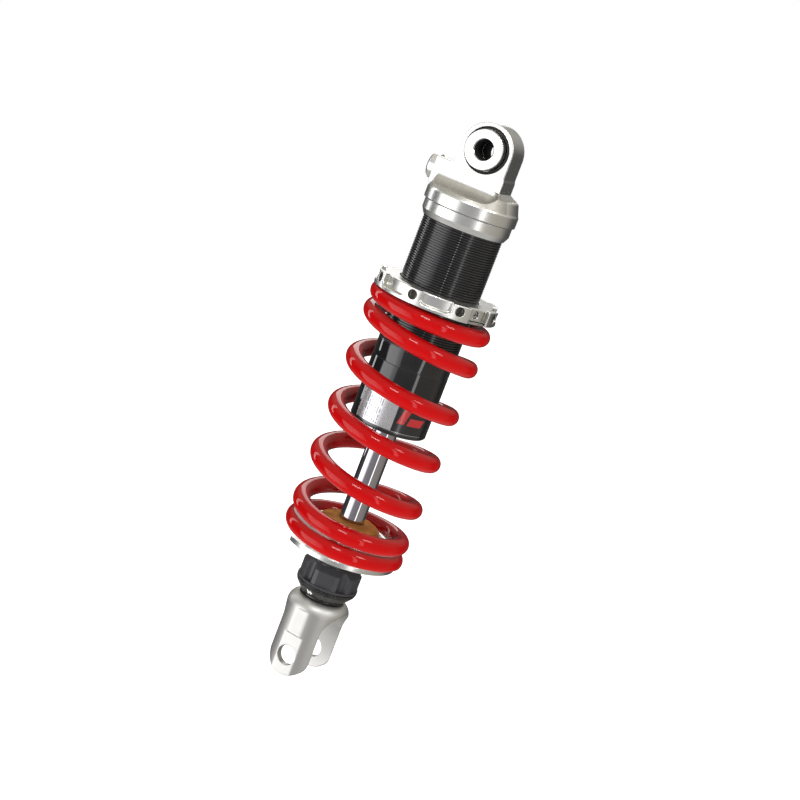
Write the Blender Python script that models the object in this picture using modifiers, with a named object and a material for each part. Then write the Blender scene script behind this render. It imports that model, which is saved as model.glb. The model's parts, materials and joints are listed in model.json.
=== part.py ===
"""Rear motorcycle shock absorber with a threaded preload ring, a coil spring, a bump stop and a rebound knob.

The shock stands along +Z with its eye at the top. The front of the eye faces -Y and the origin is centred
below the clevis. The damper body holds the eye, the rod slides up into it, and the clevis turns with the rod.
"""

import math

import bmesh
import bpy
from mathutils import Matrix, Vector

MM = 0.001
GAP = 0.3 * MM            # gap between two pieces that touch on the real object
TINY = 0.01 * MM          # merge distance of the modifiers
OVERSHOOT = 2.0 * MM      # how far a cutter runs past the face it opens

# Round pieces: number of flat sides
FINE = 32
MEDIUM = 24
COARSE = 16

# Overall lengths
CLEVIS_HOLE_HEIGHT = 13.0 * MM
EYE_TO_CLEVIS = 333.8 * MM

# Damper body
THREAD_RADIUS = 25.0 * MM
THREAD_DEPTH = 0.6 * MM
BODY_WALL = 2.4 * MM
BODY_LENGTH = 144.6 * MM
THREAD_LENGTH = 93.1 * MM
BODY_CHAMFER = 1.2 * MM
BODY_DEPTH_IN_HEAD = 5.0 * MM
LABEL_LIFT = 2.0 * MM
LABEL_HEIGHT = 20.0 * MM
LABEL_THICKNESS = 0.25 * MM
LABEL_WIDTH = 42.0 * MM
LABEL_ANGLE = 20.0
LABEL_SIDES = 48

# Spherical bearing in the eye
BOLT_RADIUS = 6.05 * MM
COLLAR_WALL = 1.65 * MM
BALL_WALL = 2.6 * MM
RACE_WALL = 2.7 * MM
RACE_WIDTH = 12.0 * MM
COLLAR_INSET = 1.9 * MM
COLLAR_STAND_OFF = 5.15 * MM
COLLAR_CHAMFER = 0.6 * MM
COLLAR_HEAD_DEPTH = 2.2 * MM
COLLAR_NECK = 2.6 * MM
CIRCLIP_THICKNESS = 1.0 * MM
CIRCLIP_WIDTH = 2.4 * MM
CIRCLIP_OPENING = 3.6 * MM
SEAL_DEPTH = 2.3 * MM
SEAL_INSET = 0.6 * MM

# Mount head
EYE_ABOVE_RIM = 38.2 * MM
EYE_WALL = 2.7 * MM
HEAD_WALL = 3.6 * MM
HEAD_RIM_HEIGHT = 6.5 * MM
HEAD_CONE_STEP = 2.7 * MM
HEAD_CONE_HEIGHT = 3.0 * MM
HEAD_DOME_HEIGHT = 3.4 * MM
SLAB_LEFT = 28.0 * MM
SLAB_BELOW_EYE = 13.4 * MM
SHOULDER_REACH = 26.7 * MM
SHOULDER_RISE = 4.9 * MM
SHOULDER_FILLET = 7.0 * MM
LOCK_RING_WALL = 2.3 * MM
LOCK_RING_HEIGHT = 9.4 * MM
LOCK_RING_CHAMFER = 3.6 * MM
THREAD_LEAD_IN = 0.3 * MM
GAS_VALVE_DROP = 20.5 * MM         # from the eye's axis to the valve's
GAS_VALVE_RADIUS = 8.0 * MM
GAS_VALVE_LENGTH = 5.3 * MM
GAS_VALVE_CHAMFER = 1.2 * MM
GAS_VALVE_RECESS = 1.6 * MM
GAS_CORE_LENGTH = 15.0 * MM
GAS_CORE_PROUD = 1.0 * MM
GAS_PORT_RADIUS = 3.0 * MM

# Spring
SPRING_CLEARANCE = 3.5 * MM
WIRE_RADIUS = 5.5 * MM
SPRING_TURNS = 7.0
TOP_DEAD_TURNS = 1.33
BOTTOM_DEAD_TURNS = 1.58
PITCH_CHANGE_TURNS = 0.4
TOP_GRIND = 0.5 * MM               # the top face stops this far above the wire half a turn from its end
COIL_POINTS_PER_TURN = 18

# Preload ring
RING_BELOW_HEAD = 58.6 * MM
RING_INSET = 0.5 * MM
RING_HEIGHT = 9.4 * MM
RING_CHAMFER = 0.5 * MM
RING_SEGMENTS = 8
POCKET_ANGLE = 30.0
POCKET_CORNER_ANGLE = 5.0
POCKET_CORNER = 1.6 * MM
POCKET_DEPTH = 3.8 * MM
POCKET_LEDGE = 2.4 * MM
FIRST_LAND_ANGLE = -1.2
PIN_HOLE_RADIUS = 2.9 * MM
PIN_HOLE_DEPTH = 8.0 * MM
GRUB_POCKET = 1                    # which pocket, counted from the front land, holds the grub screw
GRUB_RADIUS = 2.0 * MM
GRUB_INSET = 1.2 * MM
GRUB_SOCKET_DEPTH = 2.2 * MM
WASHER_THICKNESS = 1.2 * MM
WASHER_LIFT = 0.2 * MM
WASHER_INSET = 1.4 * MM
WASHER_CLEARANCE = 3.0 * MM

# Rod and piston
ROD_RADIUS = 8.0 * MM
ROD_BORE_RADIUS = 3.0 * MM
ROD_SPIGOT_STEP = 2.0 * MM
ROD_SPIGOT_LIFT = 5.5 * MM
ROD_STUD_RADIUS = 5.0 * MM
TOP_OUT_CLEARANCE = 1.2 * MM
TOP_OUT_HEIGHT = 4.5 * MM
TOP_OUT_WALL = 5.0 * MM
SHIM_STACK_HEIGHT = 2.4 * MM
SHIM_STEP = 2.0 * MM
SHIM_INSET = 8.0 * MM
PISTON_HEIGHT = 12.0 * MM
PISTON_BAND_HEIGHT = 7.0 * MM
PISTON_BAND_THICKNESS = 1.4 * MM
PISTON_PORTS = 6
PISTON_PORT_RADIUS = 1.6 * MM
PISTON_PORT_ANGLE = 4.0
PISTON_NUT_HEIGHT = 7.0 * MM
PISTON_NUT_WIDTH = 17.0 * MM
STUD_END = 1.5 * MM
JET_SHARE = 0.45                   # of the rod's bore
FLOATING_PISTON_DROP = 24.6 * MM
FLOATING_PISTON_HEIGHT = 11.0 * MM
FLOATING_PISTON_RECESS = 5.0 * MM
O_RING_RADIUS = 1.3 * MM
NEEDLE_RADIUS = 2.5 * MM
NEEDLE_TIP = 4.0 * MM
NEEDLE_END_GAP = 1.0 * MM
NEEDLE_TRAVEL = 2.4 * MM
CROSS_PIN_RADIUS = 1.4 * MM
CROSS_PIN_LIFT = 3.7 * MM

# Seal head in the bottom of the body
SEAL_HEAD_HEIGHT = 17.0 * MM
SEAL_HEAD_INSET = 0.6 * MM
SEAL_HEAD_GROOVE_DROP = 3.0 * MM
SEAL_HEAD_CIRCLIP_THICKNESS = 1.5 * MM
SEAL_HEAD_CIRCLIP_WIDTH = 3.2 * MM
SEAL_HEAD_CIRCLIP_OPENING = 5.0 * MM
WIPER_HEIGHT = 3.4 * MM
ROD_SEAL_HEIGHT = 3.6 * MM
ROD_SEAL_WIDTH = 4.0 * MM
GUIDE_BUSH_HEIGHT = 7.5 * MM
GUIDE_BUSH_WALL = 1.3 * MM

# Lower spring seat and bump stop
SEAT_FLANGE_INSET = 3.5 * MM
SEAT_FLANGE_HEIGHT = 3.5 * MM
SEAT_WALL_THICKNESS = 2.4 * MM
SEAT_WALL_HEIGHT = 10.6 * MM
SEAT_WALL_CHAMFER = 0.8 * MM
SEAT_SLOT_HALF_WIDTH = 18.0 * MM
SEAT_SLOT_ANGLE = 199.5
SEAT_COLLAR_WALL = 3.2 * MM
SEAT_COLLAR_HEIGHT = 8.1 * MM
SEAT_COLLAR_STEP = 1.0 * MM
SEAT_COLLAR_SPIGOT = 1.8 * MM
BUMP_STOP_WALL = 12.0 * MM
BUMP_STOP_HEIGHT = 15.5 * MM
BUMP_STOP_ROUNDING = 5.0 * MM
BUMP_STOP_TAPER = 1.0 * MM
BUMP_WASHER_THICKNESS = 1.6 * MM
BUMP_WASHER_INSET = 0.5 * MM

# Rebound knob and the ring below it
KNOB_GRIP = 9.2 * MM               # from the stem to the knob's lobes
KNOB_HEIGHT = 14.6 * MM
KNOB_LOBES = 5
KNOB_FIRST_LOBE = 14.5
KNOB_RECESS_DEPTH = 2.6 * MM
KNOB_RECESS_ANGLE = 4.0
KNOB_FACET_ANGLE = 14.5
KNOB_FACET_SHARE = 0.97            # of the knob's radius, at the outer ends of a lobe's side facets
KNOB_RIM_STEP = 0.6 * MM
KNOB_RIM_HEIGHT = 1.6 * MM
KNOB_BEVEL = 3.6 * MM
KNOB_BEVEL_START = 0.8 * MM
STEM_WALL = 3.7 * MM
INDICATOR_LIFT = 2.8 * MM
INDICATOR_TAPER = 6.3 * MM
INDICATOR_EDGE = 0.8 * MM
INDICATOR_HEIGHT = 6.2 * MM

# Clevis
CLEVIS_RADIUS = 20.2 * MM
CLEVIS_CROWN = 4.5 * MM            # from the top of the slot to the shoulder
CLEVIS_SHOULDER_RADIUS = 8.0 * MM
CLEVIS_SLOT_HALF_WIDTH = 14.0 * MM
CLEVIS_SLOT_TOP = 47.0 * MM
CLEVIS_END_RADIUS = 15.0 * MM
CLEVIS_HOLE_RADIUS = 6.3 * MM
CLEVIS_TURN = -4.5                 # the clevis stands a little turned from the eye
CLEVIS_BORE_CROWN = 4.0 * MM
CLEVIS_DRILL_POINT = 2.0 * MM
LOWER_FLAT_DEPTH = 1.1 * MM
UPPER_FLAT_DEPTH = 0.45 * MM
FLAT_STEP_HEIGHT = 27.3 * MM

# Values that follow from those above
EYE_HEIGHT = CLEVIS_HOLE_HEIGHT + EYE_TO_CLEVIS
BALL_BORE_RADIUS = BOLT_RADIUS + COLLAR_WALL + GAP
BALL_RADIUS = BALL_BORE_RADIUS + BALL_WALL
EYE_BORE_RADIUS = BALL_RADIUS + RACE_WALL + 2 * GAP
EYE_RADIUS = EYE_BORE_RADIUS + EYE_WALL
COLLAR_RADIUS = EYE_BORE_RADIUS - COLLAR_INSET
SLAB_THICKNESS = RACE_WIDTH + 2 * (CIRCLIP_THICKNESS + SEAL_DEPTH + SEAL_INSET + 2 * GAP)
SMOOTH_RADIUS = THREAD_RADIUS - THREAD_DEPTH
BORE_RADIUS = SMOOTH_RADIUS - BODY_WALL
HEAD_RIM_BOTTOM = EYE_HEIGHT - EYE_ABOVE_RIM
HEAD_RIM_TOP = HEAD_RIM_BOTTOM + HEAD_RIM_HEIGHT
HEAD_RADIUS = THREAD_RADIUS + GAP + HEAD_WALL
GAS_VALVE_HEIGHT = EYE_HEIGHT - GAS_VALVE_DROP
BODY_TOP = HEAD_RIM_BOTTOM + BODY_DEPTH_IN_HEAD
BODY_BOTTOM = BODY_TOP - BODY_LENGTH
THREAD_END = BODY_TOP - THREAD_LENGTH
LABEL_BOTTOM = BODY_BOTTOM + LABEL_LIFT
FLOATING_PISTON_BOTTOM = BODY_TOP - FLOATING_PISTON_DROP
SPRING_INNER_RADIUS = THREAD_RADIUS + SPRING_CLEARANCE
SPRING_OUTER_RADIUS = SPRING_INNER_RADIUS + 2 * WIRE_RADIUS
COIL_RADIUS = SPRING_INNER_RADIUS + WIRE_RADIUS
CLOSED_PITCH = 2 * WIRE_RADIUS + GAP
RING_RADIUS = SPRING_OUTER_RADIUS - RING_INSET
RING_BOTTOM = HEAD_RIM_BOTTOM - RING_BELOW_HEAD
POCKET_FLOOR = RING_RADIUS - POCKET_DEPTH
SPRING_TOP = RING_BOTTOM + WASHER_LIFT - GAP
TOP_COIL_HEIGHT = SPRING_TOP - TOP_GRIND - WIRE_RADIUS
ROD_SPIGOT_RADIUS = ROD_RADIUS - ROD_SPIGOT_STEP
STEM_RADIUS = ROD_SPIGOT_RADIUS + GAP + STEM_WALL
KNOB_RADIUS = STEM_RADIUS + KNOB_GRIP
KNOB_RIM_RADIUS = KNOB_RADIUS + KNOB_RIM_STEP
CLEVIS_SHOULDER_TOP = CLEVIS_SLOT_TOP + CLEVIS_CROWN
INDICATOR_BOTTOM = CLEVIS_SHOULDER_TOP + INDICATOR_LIFT
KNOB_BOTTOM = INDICATOR_BOTTOM + INDICATOR_HEIGHT + GAP
KNOB_TOP = KNOB_BOTTOM + KNOB_HEIGHT
CROSS_PIN_HEIGHT = KNOB_BOTTOM + CROSS_PIN_LIFT
ROD_SPIGOT_BOTTOM = CLEVIS_SHOULDER_TOP + ROD_SPIGOT_LIFT
SEAT_BOTTOM = KNOB_TOP + GAP + SEAT_COLLAR_HEIGHT
SEAT_TOP = SEAT_BOTTOM + SEAT_FLANGE_HEIGHT
SPRING_BOTTOM = SEAT_TOP + GAP
SPRING_DROP = TOP_COIL_HEIGHT - SPRING_BOTTOM - WIRE_RADIUS
OPEN_TURNS = SPRING_TURNS - TOP_DEAD_TURNS - BOTTOM_DEAD_TURNS
OPEN_PITCH = CLOSED_PITCH + (SPRING_DROP - CLOSED_PITCH * (SPRING_TURNS - 1)) / OPEN_TURNS
BUMP_STOP_RADIUS = ROD_RADIUS + GAP + BUMP_STOP_WALL

parts = bpy.data.collections.new("rear_shock_absorber")
cutters = bpy.data.collections.new("cutters")


def clear_scene():
    """Removes every object that the file opened with."""
    for obj in list(bpy.data.objects):
        bpy.data.objects.remove(obj, do_unlink=True)
    bpy.context.scene.collection.children.link(parts)
    bpy.context.scene.collection.children.link(cutters)


def move_to(obj, collection):
    """Links the object to one collection only."""
    for holder in list(obj.users_collection):
        holder.objects.unlink(obj)
    collection.objects.link(obj)
    if collection is cutters:
        obj.hide_render = True
        obj.display_type = "WIRE"
    return obj


def give_material(obj, color, roughness, metallic):
    """Gives the object a Principled material of its own."""
    material = bpy.data.materials.new(obj.name)
    material.use_nodes = True
    shader = material.node_tree.nodes["Principled BSDF"]
    shader.inputs["Base Color"].default_value = (*color, 1.0)
    shader.inputs["Roughness"].default_value = roughness
    shader.inputs["Metallic"].default_value = metallic
    obj.data.materials.clear()
    obj.data.materials.append(material)
    return obj


ALUMINIUM = ((0.80, 0.80, 0.80), 0.28, 1.0)
SATIN_ALUMINIUM = ((0.72, 0.71, 0.69), 0.45, 1.0)
BLACK_ANODISED = ((0.015, 0.015, 0.017), 0.30, 0.6)
STEEL = ((0.55, 0.55, 0.56), 0.30, 1.0)
CHROME = ((0.85, 0.86, 0.88), 0.05, 1.0)
BRONZE = ((0.55, 0.36, 0.16), 0.35, 1.0)
RUBBER = ((0.02, 0.02, 0.02), 0.75, 0.0)
FOAM = ((0.62, 0.36, 0.10), 0.90, 0.0)
RED_COAT = ((0.72, 0.01, 0.02), 0.22, 0.0)
BLACK_PLASTIC = ((0.03, 0.03, 0.035), 0.50, 0.0)
LABEL_FILM = ((0.80, 0.80, 0.82), 0.40, 0.0)


def smooth(mesh):
    """Shades the mesh smooth, with sharp edges where it turns by more than 35 degrees."""
    mesh.shade_smooth()
    mesh.set_sharp_from_angle(angle=math.radians(35))


def turned(name, outline, look=None, steps=MEDIUM, height=0.0):
    """A turned solid about Z: outline is (radius, z) down the outside and back up the inside."""
    on_axis = outline[0][0] == 0.0
    mesh = bpy.data.meshes.new(name)
    points = [(radius, 0.0, z) for radius, z in outline]
    edges = [(i, i + 1) for i in range(len(points) - 1)]
    if not on_axis:
        edges.append((len(points) - 1, 0))
    mesh.from_pydata(points, edges, [])
    obj = bpy.data.objects.new(name, mesh)
    obj.location.z = height
    screw = obj.modifiers.new("turn", "SCREW")
    screw.axis = "Z"
    screw.angle = 2 * math.pi
    screw.steps = steps
    screw.render_steps = steps
    screw.use_merge_vertices = True
    screw.merge_threshold = TINY
    screw.use_smooth_shade = True
    return finish_piece(obj, look)


def finish_piece(obj, look):
    """Files a new object as a part with its material, or as a cutter when it has none."""
    move_to(obj, cutters if look is None else parts)
    if look is not None:
        give_material(obj, *look)
    return obj


def ring(name, inner, outer, bottom, top, look=None, steps=MEDIUM):
    """A plain ring about Z."""
    outline = [(outer, top), (outer, bottom), (inner, bottom), (inner, top)]
    return turned(name, outline, look, steps)


def cylinder(name, radius, start, end, look=None, sides=MEDIUM):
    """A cylinder from start to end."""
    start, end = Vector(start), Vector(end)
    run = end - start
    bpy.ops.mesh.primitive_cylinder_add(vertices=sides, radius=radius, depth=run.length)
    obj = bpy.context.object
    obj.name = name
    obj.data.transform(run.to_track_quat("Z", "Y").to_matrix().to_4x4())
    obj.location = (start + end) / 2
    return finish_piece(obj, look)


def box(name, low, high, look=None, turn=0.0):
    """A box between two corners, turned about Z through the world's origin by turn degrees."""
    low, high = Vector(low), Vector(high)
    bpy.ops.mesh.primitive_cube_add(size=1.0)
    obj = bpy.context.object
    obj.name = name
    obj.data.transform(Matrix.Diagonal((*(high - low), 1.0)))
    obj.data.transform(Matrix.Translation((low + high) / 2))
    obj.rotation_euler.z = math.radians(turn)
    return finish_piece(obj, look)


def plate(name, points, half_thickness, look=None, upright=True):
    """A flat outline with its thickness along Y and points (x, z), or lying with its thickness along Z."""
    curve = bpy.data.curves.new(name, "CURVE")
    curve.dimensions = "2D"
    curve.fill_mode = "BOTH"
    curve.extrude = half_thickness
    spline = curve.splines.new("POLY")
    spline.points.add(len(points) - 1)
    for point, (across, up) in zip(spline.points, points):
        point.co = (across, up, 0.0, 1.0)
    spline.use_cyclic_u = True
    guide = bpy.data.objects.new(name, curve)
    if upright:
        guide.rotation_euler.x = math.radians(90)
    return mesh_from_curve(guide, look)


def mesh_from_curve(guide, look):
    """Turns a curve object into a welded mesh object of the same name."""
    name = guide.name
    bpy.context.scene.collection.objects.link(guide)
    bpy.context.view_layer.update()
    evaluated = guide.evaluated_get(bpy.context.evaluated_depsgraph_get())
    mesh = bpy.data.meshes.new_from_object(evaluated)
    placed = guide.matrix_world.copy()
    bpy.data.objects.remove(guide, do_unlink=True)
    editable = bmesh.new()
    editable.from_mesh(mesh)
    bmesh.ops.remove_doubles(editable, verts=editable.verts, dist=TINY)
    bmesh.ops.recalc_face_normals(editable, faces=editable.faces)
    editable.to_mesh(mesh)
    editable.free()
    obj = bpy.data.objects.new(name, mesh)
    obj.matrix_world = placed
    return finish_piece(obj, look)


def combine(obj, other, operation):
    """Adds a Boolean of the object with a cutter."""
    modifier = obj.modifiers.new(operation.lower(), "BOOLEAN")
    modifier.operation = operation
    modifier.solver = "EXACT"
    modifier.object = other
    return obj


def cut(obj, *others):
    """Cuts each of the others out of the object."""
    for other in others:
        combine(obj, other, "DIFFERENCE")
    return obj


def arc(center, radius, start, end, count):
    """Points on an arc in a plane, with its angles in degrees."""
    points = []
    for i in range(count + 1):
        angle = math.radians(start + (end - start) * i / count)
        points.append((center[0] + radius * math.cos(angle), center[1] + radius * math.sin(angle)))
    return points


def on_joint(obj, origin):
    """Moves the object's origin to a point of its joint's axis and leaves its shape in place."""
    origin = Vector(origin)
    placed = obj.matrix_basis.copy()
    obj.data.transform(Matrix.Translation(-origin) @ placed)
    obj.matrix_basis = Matrix.Translation(origin)
    return obj


def about_z(points, angle):
    """Turns (x, y, z) by an angle in degrees about Z."""
    return Matrix.Rotation(math.radians(angle), 4, "Z") @ Vector(points)


def front_direction(angle):
    """Unit vector at an angle in degrees from -Y towards +X."""
    return Vector((math.sin(math.radians(angle)), -math.cos(math.radians(angle)), 0.0))


# ---------------------------------------------------------------- mount head

def mount_head():
    """The eye, its slab and the rim that the body screws into, in one piece."""
    shelf = HEAD_RIM_TOP + HEAD_CONE_HEIGHT
    shoulder = shelf + SHOULDER_RISE
    socket_radius = THREAD_RADIUS + GAP
    head = turned("mount_head", [
        (0.0, shelf), (HEAD_RADIUS - HEAD_CONE_STEP, shelf), (HEAD_RADIUS, HEAD_RIM_TOP),
        (HEAD_RADIUS, HEAD_RIM_BOTTOM), (socket_radius, HEAD_RIM_BOTTOM),
        (socket_radius, BODY_TOP + GAP), (BORE_RADIUS, BODY_TOP + GAP),
        (BORE_RADIUS, HEAD_RIM_TOP), (0.0, HEAD_RIM_TOP),
    ], ALUMINIUM, FINE)
    slab_bottom = shelf - HEAD_CONE_HEIGHT / 2
    slab_top = EYE_HEIGHT - SLAB_BELOW_EYE
    outline = [(SHOULDER_REACH, slab_bottom), (SHOULDER_REACH, shoulder - HEAD_CONE_HEIGHT)]
    outline.append((SHOULDER_REACH - HEAD_CONE_HEIGHT / 2, shoulder - HEAD_CONE_HEIGHT / 6))
    outline += arc((EYE_RADIUS + SHOULDER_FILLET, shoulder + SHOULDER_FILLET), SHOULDER_FILLET, 270.0, 180.0, 5)
    outline += arc((0.0, EYE_HEIGHT), EYE_RADIUS, 0.0, 180.0, 20)
    outline += [(-EYE_RADIUS, slab_top), (-SLAB_LEFT, slab_top), (-SLAB_LEFT, slab_bottom)]
    combine(head, plate("head_slab", outline, SLAB_THICKNESS / 2), "UNION")
    eye = cylinder("eye_bore", EYE_BORE_RADIUS, (0, -SLAB_THICKNESS, EYE_HEIGHT),
                   (0, SLAB_THICKNESS, EYE_HEIGHT), sides=FINE)
    dome_top = HEAD_RIM_TOP + HEAD_DOME_HEIGHT
    dome_bottom = HEAD_RIM_TOP - OVERSHOOT
    dome = turned("head_dome", [
        (0.0, dome_top), (BORE_RADIUS * 0.5, dome_top), (BORE_RADIUS * 0.8, dome_bottom), (0.0, dome_bottom),
    ])
    port_end = -BORE_RADIUS * 0.3
    port = cylinder("gas_port", GAS_PORT_RADIUS, (-SLAB_LEFT - OVERSHOOT, 0, GAS_VALVE_HEIGHT),
                    (port_end, 0, GAS_VALVE_HEIGHT), sides=COARSE)
    drop_x = port_end - GAS_PORT_RADIUS
    drop = cylinder("gas_drop", GAS_PORT_RADIUS / 2, (drop_x, 0, GAS_VALVE_HEIGHT),
                    (drop_x, 0, dome_top - OVERSHOOT), sides=12)
    cut(head, eye, dome, port, drop)


def head_lock_ring():
    """The locking ring under the head, bevelled towards the thread."""
    top = HEAD_RIM_BOTTOM - GAP
    bottom = top - LOCK_RING_HEIGHT
    inner = THREAD_RADIUS + GAP
    outer = inner + LOCK_RING_WALL
    turned("head_lock_ring", [
        (outer, top), (outer, bottom + LOCK_RING_CHAMFER),
        (inner + THREAD_LEAD_IN, bottom), (inner, bottom), (inner, top),
    ], ALUMINIUM, FINE)


def gas_valve():
    """The gas valve in the left end of the slab, and the cap that covers it."""
    left = -SLAB_LEFT - GAP
    cylinder("gas_valve_core", GAS_PORT_RADIUS - GAP, (left - GAS_CORE_PROUD, 0, GAS_VALVE_HEIGHT),
             (left - GAS_CORE_PROUD + GAS_CORE_LENGTH, 0, GAS_VALVE_HEIGHT), STEEL, COARSE)
    cap = turned("gas_valve_cap", [
        (0.0, GAS_VALVE_LENGTH), (GAS_VALVE_RADIUS - GAS_VALVE_CHAMFER, GAS_VALVE_LENGTH),
        (GAS_VALVE_RADIUS, GAS_VALVE_LENGTH - GAS_VALVE_CHAMFER), (GAS_VALVE_RADIUS, 0.0),
        (GAS_PORT_RADIUS, 0.0), (GAS_PORT_RADIUS, GAS_VALVE_RECESS), (0.0, GAS_VALVE_RECESS),
    ], ALUMINIUM)
    cap.rotation_euler.y = math.radians(-90)
    cap.location = (left, 0, GAS_VALVE_HEIGHT)


# ---------------------------------------------------------------- spherical bearing

def lay_along_y(obj):
    """Turns a piece made about Z so that its axis is the eye's, with its top to the front."""
    obj.rotation_euler.x = math.radians(90)
    obj.location = (0.0, 0.0, EYE_HEIGHT)
    return obj


def eye_bearing():
    """The spherical bearing, its circlips, seals and the two collars that take the bolt."""
    race_outer = EYE_BORE_RADIUS - GAP
    half = RACE_WIDTH / 2
    seat_radius = BALL_RADIUS + GAP
    edge = math.degrees(math.asin(half / seat_radius))
    inside = arc((0.0, 0.0), seat_radius, -edge, edge, 4)
    race = turned("bearing_outer_race", [(race_outer, half), (race_outer, -half)] + inside, STEEL)
    lay_along_y(race)
    ball_edge = math.degrees(math.acos((BALL_BORE_RADIUS + GAP) / BALL_RADIUS))
    ball_half = BALL_RADIUS * math.sin(math.radians(ball_edge))
    profile = arc((0.0, 0.0), BALL_RADIUS, ball_edge, -ball_edge, 5)
    profile += [(BALL_BORE_RADIUS, -ball_half), (BALL_BORE_RADIUS, ball_half)]
    lay_along_y(turned("bearing_ball", profile, CHROME))
    slab_half = SLAB_THICKNESS / 2
    face = slab_half + COLLAR_STAND_OFF
    head_low = slab_half - COLLAR_HEAD_DEPTH
    shoulder = ball_half + GAP
    neck = COLLAR_RADIUS - COLLAR_NECK
    spigot = BALL_BORE_RADIUS - GAP
    clip_low = half + GAP
    seal_top = slab_half - SEAL_INSET
    for side, turn in (("front", 90), ("back", -90)):
        clip = ring("bearing_circlip_" + side, race_outer - CIRCLIP_WIDTH, race_outer,
                    clip_low, clip_low + CIRCLIP_THICKNESS, STEEL)
        opening = box("circlip_opening_" + side, (-CIRCLIP_OPENING / 2, 0, 0),
                      (CIRCLIP_OPENING / 2, EYE_RADIUS, RACE_WIDTH))
        cut(clip, opening)
        seal = ring("eye_seal_" + side, COLLAR_RADIUS + GAP, race_outer,
                    seal_top - SEAL_DEPTH, seal_top, RUBBER)
        collar = turned("eye_collar_" + side, [
            (COLLAR_RADIUS - COLLAR_CHAMFER, face), (COLLAR_RADIUS, face - COLLAR_CHAMFER),
            (COLLAR_RADIUS, head_low), (neck, head_low), (neck, shoulder),
            (spigot, shoulder), (spigot, GAP / 2), (BOLT_RADIUS, GAP / 2),
            (BOLT_RADIUS, face - COLLAR_CHAMFER), (BOLT_RADIUS + COLLAR_CHAMFER, face),
        ], STEEL)
        for piece in (clip, opening, seal, collar):
            lay_along_y(piece)
            piece.rotation_euler.x = math.radians(turn)


# ---------------------------------------------------------------- damper body

def threaded_body():
    """The damper tube: threaded above, smooth below, open at both ends."""
    turned("threaded_body", [
        (THREAD_RADIUS, BODY_TOP), (THREAD_RADIUS, THREAD_END),
        (SMOOTH_RADIUS, THREAD_END - THREAD_DEPTH), (SMOOTH_RADIUS, BODY_BOTTOM + BODY_CHAMFER),
        (SMOOTH_RADIUS - BODY_CHAMFER, BODY_BOTTOM), (BORE_RADIUS, BODY_BOTTOM),
        (BORE_RADIUS, BODY_TOP),
    ], BLACK_ANODISED, FINE)


def body_label():
    """A plain film label on the front of the smooth part."""
    inner = SMOOTH_RADIUS + GAP
    label = ring("body_label", inner, inner + LABEL_THICKNESS, LABEL_BOTTOM,
                 LABEL_BOTTOM + LABEL_HEIGHT, LABEL_FILM, LABEL_SIDES)
    keep = box("label_span", (-LABEL_WIDTH / 2, -SMOOTH_RADIUS * 2, LABEL_BOTTOM - OVERSHOOT),
               (LABEL_WIDTH / 2, 0, LABEL_BOTTOM + LABEL_HEIGHT + OVERSHOOT), turn=LABEL_ANGLE)
    combine(label, keep, "INTERSECT")


def seal_head():
    """The seal head, its bush, seals, o-ring and the circlip that holds them in the tube."""
    clip_bottom = BODY_BOTTOM + BODY_CHAMFER + SEAL_HEAD_INSET
    clip_top = clip_bottom + SEAL_HEAD_CIRCLIP_THICKNESS
    outer = BORE_RADIUS - GAP
    clip = ring("seal_head_circlip", outer - SEAL_HEAD_CIRCLIP_WIDTH, outer, clip_bottom, clip_top,
                STEEL)
    half_opening = SEAL_HEAD_CIRCLIP_OPENING / 2
    cut(clip, box("seal_head_circlip_opening", (-half_opening, 0, clip_bottom - OVERSHOOT),
                  (half_opening, BORE_RADIUS * 2, clip_top + OVERSHOOT)))
    bottom = clip_top + GAP
    top = bottom + SEAL_HEAD_HEIGHT
    running = ROD_RADIUS + GAP / 2
    wiper_top = bottom + WIPER_HEIGHT
    seal_top = wiper_top + GAP + ROD_SEAL_HEIGHT
    bush_top = seal_top + GAP + GUIDE_BUSH_HEIGHT
    pocket = running + ROD_SEAL_WIDTH + GAP
    bush_pocket = running + GUIDE_BUSH_WALL + GAP
    groove_top = top - SEAL_HEAD_GROOVE_DROP
    groove_bottom = groove_top - 2 * O_RING_RADIUS - 2 * GAP
    groove = outer - 2 * O_RING_RADIUS - GAP
    turned("seal_head", [
        (outer, top), (outer, groove_top), (groove, groove_top), (groove, groove_bottom),
        (outer, groove_bottom), (outer, bottom), (pocket, bottom),
        (pocket, seal_top + GAP), (bush_pocket, seal_top + GAP), (bush_pocket, bush_top + GAP),
        (running + GAP, bush_top + GAP), (running + GAP, top),
    ], BLACK_ANODISED)
    ring("rod_wiper", running, pocket - GAP, bottom, wiper_top, RUBBER)
    ring("rod_seal", running, pocket - GAP, wiper_top + GAP, seal_top, RUBBER)
    ring("rod_guide_bush", running, bush_pocket - GAP, seal_top + 2 * GAP, bush_top, BRONZE)
    o_ring("seal_head_o_ring", groove + GAP + O_RING_RADIUS,
           (groove_top + groove_bottom) / 2)
    return top


def o_ring(name, radius, height):
    """A rubber ring of round section about Z."""
    section = arc((radius, 0.0), O_RING_RADIUS - GAP / 2, 90.0, -210.0, 5)
    turned(name, section, RUBBER, MEDIUM, height)


# ---------------------------------------------------------------- spring and preload

def coil_pitch(turn):
    """Drop of the wire per turn at this many turns below its top end."""
    bottom_change = SPRING_TURNS - BOTTOM_DEAD_TURNS
    rise = 0.5 + (turn - TOP_DEAD_TURNS) / PITCH_CHANGE_TURNS
    fall = 0.5 + (bottom_change - turn) / PITCH_CHANGE_TURNS
    share = max(0.0, min(1.0, rise, fall))
    eased = share * share * (3 - 2 * share)
    return CLOSED_PITCH + (OPEN_PITCH - CLOSED_PITCH) * eased


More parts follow.
